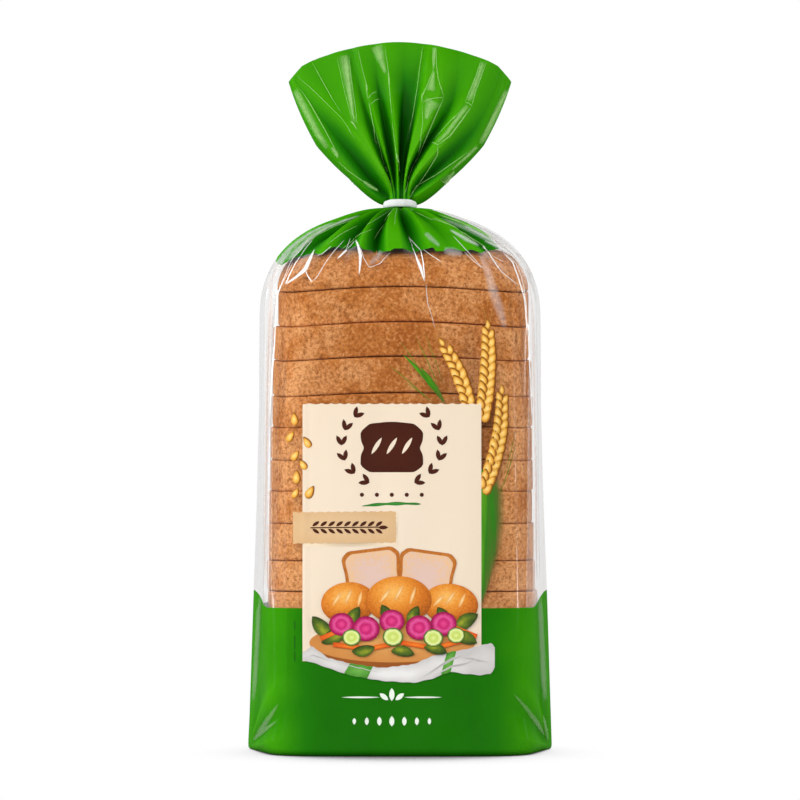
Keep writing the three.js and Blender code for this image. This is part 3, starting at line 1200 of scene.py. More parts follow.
def cloth_prints():
    cloth = Print("print_cloth", layer=6)
    cloth.patch(cloth_shape, 90, 10)
    green = Print("print_cloth_stripe", layer=7)
    for middle, half in CLOTH_STRIPES:

        def stripe(a, b):
            return cloth_shape(middle + half * a + STRIPE_SLANT * b, b * STRIPE_HEIGHT)

        green.patch(stripe, 14, 10)
    shade = Print("print_cloth_folds", layer=8)
    for start, end, low, high, thick in CLOTH_FOLDS:

        def fold(a, b):
            along = (a + 1) / 2
            return cloth_shape(mix(start, end, along), mix(low, high, along) + thick * b * (1 - a * a))

        shade.patch(fold, 24, 2)
    return cloth, green, shade


SEAM_X = -38.7
SEAM_HALF_WIDTH = 0.16
SEAM_DASHES = ((48.2, 1.6), (42.0, 2.4), (36.8, 1.9))  # height and half length


def seam_print():
    """The dashes where the film's seam shows through the foot."""
    ink = Print("print_seam", layer=0)
    for z, half in SEAM_DASHES:
        ink.bar(SEAM_X, z, SEAM_HALF_WIDTH, half, 0, (1, 4))
    return ink


ORNAMENT_X = -3.0
DIVIDER_Z = 21.8
DIVIDER_LINE = (7.0, 0.32)
DIVIDER_LINE_X = 11.5
DIVIDER_LEAF = (2.4, 1.0)
DIVIDER_SIDE_LEAF = (2.0, 0.9)
DIVIDER_SIDE_TILT = 52
FOOT_GRAINS_Z = 13.0
FOOT_GRAIN_GAP = 4.6


def foot_ornament():
    """A pale divider and a row of grains in the printed foot."""
    ink = Print("print_foot_ornament", layer=1)
    for side in (-1, 1):
        x = ORNAMENT_X + side * 2.9
        turned = 90 - side * DIVIDER_SIDE_TILT
        ink.leaf(ORNAMENT_X + side * DIVIDER_LINE_X, DIVIDER_Z, *DIVIDER_LINE, 0, cells=(12, 2))
        ink.leaf(x, DIVIDER_Z + 0.2, *DIVIDER_SIDE_LEAF, turned, cells=(6, 2))
    ink.leaf(ORNAMENT_X, DIVIDER_Z + 1.0, *DIVIDER_LEAF, 90, cells=(6, 2))
    for k in range(-3, 4):
        x = ORNAMENT_X + k * FOOT_GRAIN_GAP
        ink.leaf(x, FOOT_GRAINS_Z, 1.9 - 0.22 * abs(k), 0.95 - 0.1 * abs(k), 90, cells=(6, 2))
    return ink


# Painted highlights, sheens and reflections on the film's creases and facets. Each is a strip through
# points given as x, z and half width, in mm

# Painted white highlights on sharp folds
BRIGHT_HIGHLIGHT_STRIPS = (
    ((3.1, 191.7, 0.11), (5.3, 185.6, 0.32), (7.6, 179.8, 0.7), (9.1, 174.4, 0.14)),
    ((7.7, 186.6, 0.14), (8.6, 182.0, 0.28), (9.1, 175.5, 0.25)),
    ((-16.3, 190.6, 0.14), (-15.3, 188.2, 0.49), (-14.6, 184.2, 0.56), (-15.0, 177.0, 0.14)),
    ((-19.6, 186.7, 0.49), (-21.4, 184.9, 0.42), (-23.3, 182.9, 0.14)),
    ((-32.4, 174.5, 0.28), (-33.9, 176.6, 0.21), (-34.7, 178.7, 0.18)),
    (
        (-31.4, 186.9, 0.14), (-32.8, 183.8, 0.64), (-34.9, 179.1, 0.92), (-38.2, 176.3, 0.49),
        (-42.2, 173.6, 0.28),
    ),
    ((-36.8, 184.3, 0.18), (-38.4, 182.0, 0.21), (-40.1, 178.4, 0.25), (-42.2, 173.6, 0.35)),
    (
        (-40.6, 181.4, 0.13), (-42.5, 176.5, 0.17), (-45.0, 170.1, 0.34), (-45.7, 162.9, 0.25),
        (-46.1, 151.9, 0.25), (-46.8, 143.4, 0.3), (-47.5, 130.8, 0.3), (-47.8, 123.7, 0.25),
    ),
    ((30.6, 188.7, 0.21), (32.6, 185.6, 0.28), (34.7, 182.0, 0.21), (36.5, 179.1, 0.14)),
    (
        (37.9, 186.0, 0.18), (41.6, 182.0, 0.28), (43.5, 176.3, 0.28), (45.7, 168.5, 0.28),
        (46.7, 157.2, 0.28),
    ),
    (
        (46.7, 159.5, 0.17), (47.3, 151.9, 0.21), (47.7, 142.6, 0.21), (48.1, 132.9, 0.21),
        (48.6, 123.7, 0.21),
    ),
)

# Thin pale painted highlights
SOFT_HIGHLIGHT_STRIPS = (
    ((3.1, 191.7, 0.18), (5.5, 188.9, 0.18), (7.7, 186.3, 0.21)),
    (
        (-15.6, 190.0, 0.14), (-13.6, 183.4, 0.21), (-11.5, 179.8, 0.21), (-7.2, 181.3, 0.18),
        (-3.4, 185.6, 0.14),
    ),
    ((-16.5, 190.0, 0.18), (-18.0, 188.2, 0.18), (-20.0, 186.3, 0.21)),
    (
        (-20.7, 190.4, 0.18), (-24.2, 186.3, 0.21), (-27.3, 182.0, 0.21), (-30.5, 176.3, 0.25),
        (-32.4, 174.5, 0.28),
    ),
    ((-32.6, 190.6, 0.18), (-35.2, 187.1, 0.21), (-36.8, 184.3, 0.21)),
    ((-18.6, 191.1, 0.14), (-19.1, 189.3, 0.21), (-20.1, 186.3, 0.18)),
    (
        (-22.0, 198.0, 0.11), (-28.0, 195.5, 0.16), (-31.3, 194.2, 0.18), (-33.9, 191.8, 0.2),
        (-36.9, 190.2, 0.2), (-38.8, 187.6, 0.16), (-40.4, 184.4, 0.12),
    ),
    (
        (-33.9, 191.9, 0.16), (-35.4, 189.1, 0.2), (-37.1, 186.4, 0.2), (-39.7, 183.4, 0.2),
        (-41.9, 178.6, 0.14),
    ),
    ((-25.5, 188.0, 0.14), (-28.7, 185.0, 0.2), (-30.6, 184.3, 0.14)),
    ((-17.0, 199.2, 0.11), (-24.6, 196.2, 0.16), (-30.6, 192.6, 0.14)),
    ((-47.8, 123.7, 0.29), (-48.0, 105.3, 0.33), (-48.2, 79.6, 0.29), (-48.4, 56.0, 0.22)),
    ((-39.5, 182.0, 0.11), (-40.6, 179.5, 0.13), (-42.2, 176.0, 0.13), (-43.7, 173.0, 0.11)),
    ((19.6, 191.9, 0.14), (24.5, 186.3, 0.18), (30.5, 179.5, 0.18)),
    ((23.8, 185.6, 0.14), (27.3, 182.0, 0.18), (30.5, 179.5, 0.18)),
    ((33.7, 183.4, 0.21), (37.2, 178.4, 0.21), (43.3, 173.4, 0.21)),
    ((30.3, 188.0, 0.18), (34.4, 184.2, 0.18), (38.6, 182.0, 0.14)),
    ((48.6, 123.7, 0.26), (49.0, 94.3, 0.26), (49.2, 72.2, 0.24), (49.2, 56.0, 0.18)),
    (
        (38.6, 186.0, 0.13), (42.8, 181.6, 0.17), (44.5, 177.3, 0.17), (45.7, 171.8, 0.21),
        (46.4, 164.6, 0.17),
    ),
    ((8.6, 186.7, 0.14), (11.8, 184.2, 0.18), (15.3, 181.8, 0.28)),
    ((9.5, 174.1, 0.14), (10.1, 167.0, 0.18), (11.8, 161.4, 0.14), (12.9, 157.2, 0.11)),
    ((14.5, 201.0, 0.29), (21.2, 198.4, 0.43), (28.2, 195.1, 0.5), (34.5, 191.5, 0.42)),
    ((12.6, 199.4, 0.14), (21.8, 194.7, 0.21), (28.1, 190.4, 0.21), (32.3, 187.4, 0.18)),
    ((11.5, 199.2, 0.18), (19.0, 196.1, 0.21), (24.6, 193.0, 0.25), (29.8, 188.0, 0.18)),
    ((-2.3, 203.3, 0.11), (-5.1, 198.8, 0.15), (-7.8, 194.7, 0.15), (-10.1, 190.4, 0.09)),
    ((-1.1, 203.6, 0.11), (-1.8, 200.0, 0.17), (-2.0, 195.9, 0.11)),
    ((-3.4, 203.3, 0.09), (-8.1, 199.6, 0.15), (-12.9, 195.9, 0.11)),
    ((3.0, 203.4, 0.11), (7.6, 200.9, 0.17), (12.7, 197.9, 0.11)),
    ((-10.1, 194.9, 0.11), (-15.8, 191.9, 0.18), (-22.1, 186.3, 0.14)),
    ((-15.8, 196.4, 0.11), (-22.2, 192.6, 0.18), (-27.1, 188.4, 0.14)),
    ((-27.5, 196.1, 0.11), (-32.1, 192.6, 0.14), (-36.2, 188.2, 0.18), (-40.1, 183.4, 0.14)),
    ((-24.4, 197.6, 0.11), (-30.0, 193.8, 0.14), (-33.4, 190.0, 0.14)),
    (
        (-23.8, 261.0, 0.09), (-22.3, 254.8, 0.12), (-20.8, 247.9, 0.12), (-19.0, 241.1, 0.12),
        (-17.6, 236.1, 0.12),
    ),
    (
        (-19.3, 261.7, 0.12), (-18.8, 256.0, 0.16), (-17.9, 248.6, 0.16), (-16.9, 241.7, 0.12),
        (-16.1, 235.4, 0.12),
    ),
    ((-18.4, 237.0, 0.5), (-16.9, 235.1, 0.31), (-16.1, 233.6, 0.12)),
    (
        (-5.9, 265.4, 0.09), (-4.9, 258.5, 0.16), (-3.9, 250.4, 0.16), (-3.2, 242.9, 0.12),
        (-2.5, 237.3, 0.09),
    ),
    ((-2.7, 237.3, 0.09), (-1.4, 227.3, 0.12), (-0.4, 217.3, 0.09)),
    ((-16.0, 264.0, 0.12), (-14.5, 257.3, 0.12), (-12.6, 249.8, 0.16), (-11.9, 244.8, 0.19)),
    ((-11.5, 244.2, 0.19), (-10.7, 239.8, 0.19), (-9.5, 234.2, 0.16), (-8.9, 227.6, 0.19)),
    ((-11.8, 245.1, 0.12), (-11.0, 247.0, 0.16), (-9.0, 247.9, 0.12)),
    ((-11.1, 242.9, 0.12), (-9.8, 244.5, 0.16), (-8.0, 245.3, 0.12)),
    ((-8.9, 233.6, 0.09), (-6.4, 223.6, 0.09), (-3.3, 212.3, 0.09)),
    ((-32.9, 258.8, 0.09), (-28.3, 250.4, 0.16), (-24.8, 244.2, 0.12), (-21.9, 239.5, 0.09)),
    (
        (-38.8, 254.0, 0.09), (-33.9, 249.8, 0.12), (-28.3, 244.2, 0.12), (-22.0, 237.9, 0.09),
        (-16.4, 229.8, 0.09),
    ),
    (
        (-38.5, 250.7, 0.12), (-35.4, 246.1, 0.25), (-32.5, 241.1, 0.22), (-28.3, 233.6, 0.19),
        (-23.9, 225.4, 0.16),
    ),
    ((8.7, 265.1, 0.12), (7.8, 258.5, 0.12), (6.8, 250.4, 0.12), (5.1, 239.8, 0.12), (3.3, 232.3, 0.09)),
    (
        (12.2, 264.5, 0.09), (12.2, 259.8, 0.12), (12.6, 256.0, 0.12), (10.5, 251.1, 0.12),
        (8.5, 246.1, 0.16), (8.3, 243.6, 0.12),
    ),
    ((13.8, 264.5, 0.09), (13.6, 258.5, 0.16), (14.3, 252.9, 0.19), (16.3, 245.8, 0.16)),
    ((8.4, 243.6, 0.16), (10.5, 244.8, 0.19), (13.0, 245.3, 0.19), (16.3, 245.7, 0.16)),
    (
        (16.3, 245.6, 0.19), (13.6, 239.8, 0.25), (10.5, 232.9, 0.25), (7.3, 225.4, 0.22),
        (4.2, 217.3, 0.19), (1.1, 208.6, 0.16),
    ),
    ((8.3, 243.2, 0.12), (8.6, 236.1, 0.12), (7.3, 227.9, 0.12), (4.8, 217.9, 0.09)),
    ((30.4, 259.5, 0.12), (28.4, 253.5, 0.16), (26.4, 248.6, 0.16), (24.5, 244.1, 0.16)),
    ((32.5, 259.2, 0.12), (30.3, 252.9, 0.19), (28.4, 247.9, 0.19), (26.9, 242.6, 0.19)),
    ((24.6, 243.9, 0.16), (25.8, 243.6, 0.16), (26.9, 242.6, 0.16)),
    ((26.8, 242.4, 0.16), (23.0, 237.0, 0.22), (18.6, 231.1, 0.25), (14.3, 227.9, 0.22)),
    ((12.3, 228.7, 0.19), (13.3, 228.4, 0.22), (14.5, 227.8, 0.25)),
    (
        (14.4, 227.8, 0.22), (13.8, 224.2, 0.22), (11.1, 219.8, 0.22), (7.3, 214.2, 0.19),
        (3.1, 208.0, 0.16),
    ),
    ((23.6, 241.7, 0.09), (18.6, 236.1, 0.12), (13.0, 229.8, 0.09)),
    ((41.1, 250.1, 0.12), (37.9, 244.2, 0.22), (34.8, 238.6, 0.22), (31.7, 232.8, 0.19)),
    (
        (26.1, 225.9, 0.09), (20.5, 221.7, 0.16), (13.6, 216.7, 0.16), (7.3, 213.0, 0.16),
        (3.3, 208.3, 0.12),
    ),
    ((-23.4, 222.4, 0.09), (-19.5, 218.6, 0.16), (-14.5, 214.8, 0.16), (-8.9, 211.1, 0.12)),
)

# Painted milky sheen on folds at the shoulder's two sides
SIDE_SHEEN_STRIPS = (
    (
        (-24.8, 197.6, 0.5), (-30.2, 195.6, 0.9), (-34.1, 193.4, 1.1), (-37.7, 190.6, 1.3),
        (-41.0, 187.6, 1.5), (-43.1, 185.0, 1.6), (-44.9, 181.8, 1.4), (-46.0, 178.6, 0.9),
    ),
    (
        (-15.0, 200.8, 0.3), (-21.0, 198.6, 0.6), (-27.0, 195.8, 0.7), (-32.0, 192.6, 0.9),
        (-36.0, 188.8, 1.2), (-39.0, 185.6, 1.4), (-41.6, 182.4, 0.9),
    ),
    ((-44.4, 184.8, 0.5), (-46.4, 180.6, 0.9), (-48.2, 175.6, 0.9), (-49.2, 168.0, 0.5)),
    ((18.5, 194.3, 0.5), (24.3, 190.7, 1.1), (29.3, 188.2, 0.7)),
    ((31.4, 190.3, 0.5), (37.2, 187.8, 0.9), (40.8, 185.0, 0.6)),
    ((24.0, 196.4, 0.5), (30.5, 192.6, 0.8), (36.0, 189.4, 0.5)),
    ((36.6, 190.2, 0.5), (41.6, 186.2, 1.2), (44.6, 181.2, 1.2), (46.6, 176.0, 0.8)),
)

# Painted sheen down the printed foot's sides, and on the creases at its corners
FOOT_SHEEN_STRIPS = (
    ((-51.6, 58.0, 0.7), (-52.6, 51.7, 1.2), (-53.2, 39.5, 1.3), (-54.0, 27.3, 1.3), (-54.8, 18.3, 0.8)),
    ((51.4, 59.0, 0.7), (52.0, 53.3, 1.4), (52.7, 39.5, 1.5), (53.4, 27.3, 1.5), (54.2, 18.3, 0.9)),
    ((41.8, 22.8, 0.3), (46.5, 17.3, 0.9), (50.5, 11.6, 1.1), (53.9, 6.0, 0.4)),
    ((53.0, 14.0, 0.3), (54.2, 9.0, 0.7), (55.4, 3.6, 0.3)),
    ((-44.6, 19.2, 0.3), (-47.5, 14.6, 1.0), (-51.5, 8.6, 1.2), (-55.0, 3.6, 0.3)),
    ((-45.2, 12.8, 0.3), (-49.5, 9.2, 0.9), (-54.2, 4.0, 0.3)),
)

# Painted reflection of the crust in the film's two corners
CRUST_REFLECTION_STRIPS = (
    (
        (-46.9, 178.0, 0.5), (-47.6, 165.0, 0.9), (-48.2, 150.0, 0.95), (-48.8, 130.0, 0.9),
        (-49.3, 100.0, 0.8), (-49.8, 62.0, 0.6),
    ),
    ((47.6, 176.0, 0.4), (48.9, 160.0, 0.6), (49.4, 135.0, 0.6), (49.9, 100.0, 0.5), (50.3, 64.0, 0.4)),
)

# Painted grey sheen on the film's own edge, doubled along the right of the dome and down the right wall
EDGE_SHEEN_STRIPS = (
    (
        (17.5, 200.7, 0.3), (23.7, 198.4, 0.5), (27.6, 197.2, 0.55), (31.3, 195.3, 0.5),
        (35.0, 193.4, 0.45), (38.2, 191.4, 0.3),
    ),
    (
        (43.6, 187.0, 0.2), (46.2, 184.4, 0.35), (47.9, 181.6, 0.35), (49.2, 178.2, 0.3),
        (50.3, 173.4, 0.2),
    ),
    (
        (50.0, 166.0, 0.18), (50.6, 140.0, 0.24), (51.0, 110.0, 0.24), (51.4, 80.0, 0.22),
        (51.6, 64.0, 0.16),
    ),
)

# Broad facets with a faint painted sheen
FACET_SHEEN_STRIPS = (
    (
        (-45.2, 176.0, 0.63), (-47.1, 169.6, 0.84), (-47.5, 160.3, 0.76), (-47.8, 147.7, 0.76),
        (-48.1, 126.6, 0.76),
    ),
    (
        (29.1, 185.6, 0.71), (32.2, 178.4, 1.76), (34.6, 169.9, 2.25), (37.1, 162.8, 1.97),
        (38.5, 157.2, 1.06),
    ),
    ((-6.6, 186.3, 0.71), (-8.7, 183.4, 1.76), (-11.5, 180.9, 0.71)),
    ((16.1, 186.3, 1.41), (19.6, 185.6, 2.12), (23.1, 184.9, 1.06)),
    ((15.5, 199.4, 0.57), (24.0, 195.7, 1.07), (32.4, 191.1, 1.27), (39.3, 185.6, 1.06)),
    ((9.4, 193.0, 0.85), (11.8, 190.4, 1.2), (14.6, 187.8, 0.71)),
    ((-40.1, 186.7, 0.49), (-43.6, 182.0, 0.92), (-46.7, 175.5, 0.85)),
    (
        (-21.5, 261.8, 2.12), (-20.6, 257.3, 1.94), (-19.6, 251.1, 1.44), (-18.3, 242.9, 0.81),
        (-16.9, 235.7, 0.37),
    ),
    ((-20.6, 261.7, 0.94), (-19.8, 254.8, 0.81), (-18.9, 247.3, 0.56), (-17.6, 238.6, 0.37)),
    ((-8.9, 265.1, 2.69), (-8.0, 262.3, 2.19), (-6.7, 258.5, 1.37), (-5.2, 254.5, 0.62)),
    ((-39.5, 249.2, 1.25), (-35.4, 241.1, 1.44), (-30.8, 232.3, 1.37), (-27.0, 226.7, 0.94)),
    ((-25.8, 227.3, 0.62), (-23.9, 224.8, 0.94), (-23.3, 223.3, 0.37)),
    ((13.0, 264.5, 0.81), (12.8, 260.4, 0.69), (12.6, 256.4, 0.37)),
    ((12.8, 255.4, 0.44), (12.0, 251.7, 1.25), (11.4, 247.9, 2.19)),
    ((12.6, 244.5, 3.44), (10.8, 241.1, 1.87), (9.8, 237.3, 0.75)),
    ((31.3, 259.2, 1.06), (29.6, 254.2, 1.06), (27.6, 248.6, 1.19), (25.7, 244.2, 1.12)),
    ((25.4, 242.9, 1.06), (21.7, 237.9, 1.0), (17.6, 232.3, 0.87), (13.9, 228.6, 0.56)),
    ((40.1, 249.2, 0.94), (36.4, 241.1, 1.19), (32.9, 233.6, 1.25), (30.1, 228.6, 0.94)),
    ((29.2, 227.9, 0.81), (24.8, 223.6, 0.62), (19.2, 218.6, 0.31)),
    ((20.5, 218.6, 0.44), (18.6, 216.1, 1.06), (16.8, 213.0, 0.5)),
    ((-13.9, 214.5, 0.56), (-11.4, 212.6, 0.81), (-8.3, 210.8, 0.44)),
)


def painted_sheen_print(name, strips, mirrored):
    """The painted highlight strips in one piece. The mirrored ones are for the back."""
    ink = Print(name, layer=9)
    side = -1 if mirrored else 1
    for strip in strips:
        ink.ribbon([(side * x, z, half) for x, z, half in strip])
    return ink


# Material helpers


def add(tree, kind, inputs=(), **settings):
    """A new node with its settings made and its inputs set or joined."""
    node = tree.nodes.new("ShaderNode" + kind)
    for name, value in settings.items():
        setattr(node, name, value)
    for name, value in dict(inputs).items():
        if isinstance(value, bpy.types.NodeSocket):
            tree.links.new(value, node.inputs[name])
        else:
            node.inputs[name].default_value = value
    return node


def calc(tree, operation, a, b=0.0, clamp=False):
    node = add(tree, "Math", {0: a, 1: b}, operation=operation, use_clamp=clamp)
    return node.outputs[0]


def ramp(tree, factor, stops):
    node = add(tree, "ValToRGB", {"Fac": factor})
    elements = node.color_ramp.elements
    while len(elements) < len(stops):
        elements.new(0.5)
    for element, (position, colour) in zip(elements, stops):
        element.position = position
        element.color = (*colour, 1)
    return node.outputs["Color"]


def blend_colour(tree, factor, a, b):
    node = add(tree, "Mix", data_type="RGBA")
    for index, value in ((0, factor), (6, a), (7, b)):
        if isinstance(value, bpy.types.NodeSocket):
            tree.links.new(value, node.inputs[index])
        else:
            node.inputs[index].default_value = (*value, 1) if isinstance(value, tuple) else value
    return node.outputs[2]


def above(tree, value, start, factor, clamp=False):
    """How far value lies above start, times factor."""
    return calc(tree, "MULTIPLY", calc(tree, "SUBTRACT", value, start), factor, clamp)


def greys(*stops):
    return [(place, (value, value, value)) for place, value in stops]


def noise(tree, place, scale, detail=2.0, roughness=0.5):
    inputs = {"Vector": place, "Scale": scale, "Detail": detail, "Roughness": roughness}
    return add(tree, "TexNoise", inputs).outputs["Fac"]


def bump(tree, height, strength, distance):
    inputs = {"Height": height, "Strength": strength, "Distance": distance}
    return add(tree, "Bump", inputs).outputs["Normal"]


def patch_place(tree):
    """Where a point of the print lies in its patch, from 0 to 1 both ways."""
    return add(tree, "UVMap", uv_map="patch").outputs["UV"]


def new_material(name, shader="BsdfPrincipled", inputs=()):
    """An empty material with its surface shader joined to the output."""
    material = bpy.data.materials.new(name)
    material.use_nodes = True
    tree = material.node_tree
    tree.nodes.clear()
    surface = add(tree, shader, inputs)
    output = add(tree, "OutputMaterial")
    tree.links.new(surface.outputs[0], output.inputs["Surface"])
    return material, tree, surface


def join_shaders(tree, share, under, over):
    mixed = add(tree, "MixShader", {0: share, 1: under.outputs[0], 2: over.outputs[0]})
    output = next(node for node in tree.nodes if node.type.startswith("OUTPUT"))
    tree.links.new(mixed.outputs[0], output.inputs["Surface"])


def object_coordinates(tree, scale=(1, 1, 1)):
    place = add(tree, "TexCoord").outputs["Object"]
    return add(tree, "Mapping", {"Vector": place, "Scale": scale}).outputs["Vector"]


def new_group(name, inputs, outputs):
    """A shader node group. inputs maps each name to a number, and outputs each name to a kind."""
    tree = bpy.data.node_groups.new(name, "ShaderNodeTree")
    for label, value in inputs.items():
        socket = tree.interface.new_socket(label, in_out="INPUT", socket_type="NodeSocketFloat")
        socket.default_value = value
    for label, kind in outputs.items():
        tree.interface.new_socket(label, in_out="OUTPUT", socket_type="NodeSocket" + kind)
    entry = tree.nodes.new("NodeGroupInput")
    leave = tree.nodes.new("NodeGroupOutput")
    return tree, entry, leave


def filled_group(tree, group, inputs):
    node = add(tree, "Group", node_tree=group)
    for name, value in dict(inputs).items():
        node.inputs[name].default_value = value
    return node


# Effects that several materials share


LONG_RIPPLES = (90, 90, 22)  # how close they are across, from front to back, and up
SMALL_RIPPLES = 260.0
SMALL_RIPPLE_SHARE = 0.12
RIPPLE_DEPTH = 1.2 * MM


def crinkle_group():
    """The fine crinkles of thin film: long soft ripples up the bag, and small cross ones."""
    tree, entry, leave = new_group("film crinkle", {"Depth": 0.3}, {"Normal": "Vector"})
    long_ripples = noise(tree, object_coordinates(tree, LONG_RIPPLES), 1.0, 3.0)
    small_ripples = noise(tree, object_coordinates(tree), SMALL_RIPPLES)
    small = calc(tree, "MULTIPLY", small_ripples, SMALL_RIPPLE_SHARE)
    height = calc(tree, "ADD", long_ripples, small)
    tree.links.new(bump(tree, height, entry.outputs["Depth"], RIPPLE_DEPTH), leave.inputs["Normal"])
    return tree


CRINKLE = crinkle_group()


def crinkled(tree, surface, depth):
    """Gives the surface the film's crinkles. The normal is for what else needs it."""
    normal = filled_group(tree, CRINKLE, {"Depth": depth}).outputs["Normal"]
    tree.links.new(normal, surface.inputs["Normal"])
    return normal


# Materials

# The clear film mirrors more towards its edges, less so on its inside, and never quite nothing
FILM_GREY = (0.95, 0.95, 0.95, 1)
FILM_TINT = (0.99, 0.99, 0.985, 1)
EDGE_POWER = 2.2
EDGE_MIRROR = 0.8
INSIDE_LOSS = 0.6
LEAST_MIRROR = 0.014


def clear_film():
    settings = {"Base Color": FILM_GREY, "Metallic": 0.8, "Roughness": 0.12}
    material, tree, gloss = new_material("clear film", inputs=settings)
    normal = crinkled(tree, gloss, 0.22)
    facing = add(tree, "LayerWeight", {"Blend": 0.5, "Normal": normal}).outputs["Facing"]
    edge = calc(tree, "POWER", facing, EDGE_POWER)
    inside = add(tree, "NewGeometry").outputs["Backfacing"]
    strength = calc(tree, "SUBTRACT", EDGE_MIRROR, calc(tree, "MULTIPLY", inside, INSIDE_LOSS))
    share = calc(tree, "ADD", calc(tree, "MULTIPLY", edge, strength), LEAST_MIRROR, clamp=True)
    see_through = add(tree, "BsdfTransparent", {"Color": FILM_TINT})
    join_shaders(tree, share, see_through, gloss)
    return material


# The printed green with painted shade, from the bottom of a fold to a bare ridge
GREEN_PAINTED_SHADES = (
    (0.0, (0.0012, 0.042, 0.0004)),
    (0.25, (0.004, 0.092, 0.0006)),
    (0.5, (0.0115, 0.172, 0.001)),
    (0.75, (0.05, 0.32, 0.0015)),
    (1.0, (0.085, 0.40, 0.005)),
)
GREEN_CLOUDS = 60.0
GREEN_DRIFT = 0.14
GREEN_GLOSS = 0.14  # where the film faces the eye
GREEN_GLOSS_POWER = 3.0


def green_film():
    material, tree, film = new_material("green film", inputs={"Roughness": 0.2, "IOR": 1.4})
    normal = crinkled(tree, film, 0.2)
    facing = add(tree, "LayerWeight", {"Blend": 0.5, "Normal": normal}).outputs["Facing"]
    head_on = calc(tree, "POWER", calc(tree, "SUBTRACT", 1.0, facing), GREEN_GLOSS_POWER)
    tree.links.new(calc(tree, "MULTIPLY", head_on, GREEN_GLOSS), film.inputs["Specular IOR Level"])
    # The painted shade of the folds, the foot's sides and the neck, read from the grids' UV map
    sheet = add(tree, "UVMap", uv_map="sheet").outputs["UV"]
    painted_shade = add(tree, "SeparateXYZ", {"Vector": sheet}).outputs["X"]
    drift = above(tree, noise(tree, object_coordinates(tree), GREEN_CLOUDS, 3.0), 0.5, GREEN_DRIFT)
    colour = ramp(tree, calc(tree, "ADD", painted_shade, drift), GREEN_PAINTED_SHADES)
    tree.links.new(colour, film.inputs["Base Color"])
    return material


CRUST_TONES = (
    (0.32, (0.37, 0.1, 0.014)),
    (0.52, (0.49, 0.165, 0.034)),
    (0.74, (0.66, 0.3, 0.112)),
)
CRUST_PAINTED_SIDE_LIGHT = 4.0  # painted light: how much paler the crust gets for each metre from the middle of a side
CRUST_CLOUDS = 70.0
# The painted shadow that the printed shoulder casts on the heel's top
SHOULDER_SHADOW = (0.19, 0.068, 0.018)
SHOULDER_SHADOW_FROM = 182.5 * MM  # painted shadow of the printed shoulder on the heel's top, from this height up
SHOULDER_SHADOW_RISE = 4.5 * MM
SHOULDER_SHADOW_SHARE = 0.62

# The grains: their colours, and the grit's value where each kind starts with how fast it sets in
GRIT = 780.0
GRIT_DEPTH = 0.45 * MM
PALE_GRAIN = (0.86, 0.47, 0.2)
PALE_FROM = (0.53, 2.6)
DARK_GRAIN = (0.22, 0.062, 0.012)
DARK_FROM = (0.49, -4.4)

# The small dark flecks: the share that is left out, and how dark the others are
FLECK = (0.22, 0.06, 0.012)
FLECKS = 2100.0
FLECK_FROM = 0.8
FLECK_SHARE = 0.4


def crust():
    """Darker in the middle of each side than beside the corners as painted light and shade, with a painted
    shadow of the printed shoulder on the heel's top; rough, with pale and dark grains.
    """
    material, tree, surface = new_material("crust", inputs={"Roughness": 0.85, "IOR": 1.35})
    place = object_coordinates(tree)
    axes = add(tree, "SeparateXYZ", {"Vector": place}).outputs
    aside = calc(tree, "MINIMUM", *(calc(tree, "ABSOLUTE", axes[axis]) for axis in ("X", "Y")))
    cloud = noise(tree, place, CRUST_CLOUDS, 5.0, 0.65)
    # Painted light and shade: paler towards the corners, darker in the middle of each side
    toast = calc(tree, "ADD", cloud, calc(tree, "MULTIPLY", aside, CRUST_PAINTED_SIDE_LIGHT))
    colour = ramp(tree, toast, CRUST_TONES)
    grit = noise(tree, place, GRIT, 3.0, 0.6)
    colour = blend_colour(tree, above(tree, grit, *PALE_FROM, clamp=True), colour, PALE_GRAIN)
    colour = blend_colour(tree, above(tree, grit, *DARK_FROM, clamp=True), colour, DARK_GRAIN)
    flecks = add(tree, "TexVoronoi", {"Vector": place, "Scale": FLECKS, "Randomness": 1.0})
    tint = add(tree, "SeparateColor", {"Color": flecks.outputs["Color"]}).outputs[1]
    dark = calc(tree, "MULTIPLY", calc(tree, "GREATER_THAN", tint, FLECK_FROM), FLECK_SHARE)
    colour = blend_colour(tree, dark, colour, FLECK)
    # Painted shadow of the printed shoulder, darkening the heel's top
    crown = calc(tree, "SUBTRACT", axes["Z"], SHOULDER_SHADOW_FROM)
    crown = calc(tree, "DIVIDE", crown, SHOULDER_SHADOW_RISE, clamp=True)
    colour = blend_colour(tree, calc(tree, "MULTIPLY", crown, SHOULDER_SHADOW_SHARE), colour, SHOULDER_SHADOW)
    tree.links.new(colour, surface.inputs["Base Color"])
    tree.links.new(bump(tree, grit, 0.7, GRIT_DEPTH), surface.inputs["Normal"])
    return material


BAND_WHITE = (0.74, 0.74, 0.75, 1)
BAND_RIPPLES = 400.0
BAND_RIPPLE_DEPTH = 0.2 * MM


def white_band():
    settings = {"Base Color": BAND_WHITE, "Roughness": 0.4}
    material, tree, surface = new_material("white band", inputs=settings)
    ripple = noise(tree, object_coordinates(tree), BAND_RIPPLES)
    tree.links.new(bump(tree, ripple, 0.2, BAND_RIPPLE_DEPTH), surface.inputs["Normal"])
    return material


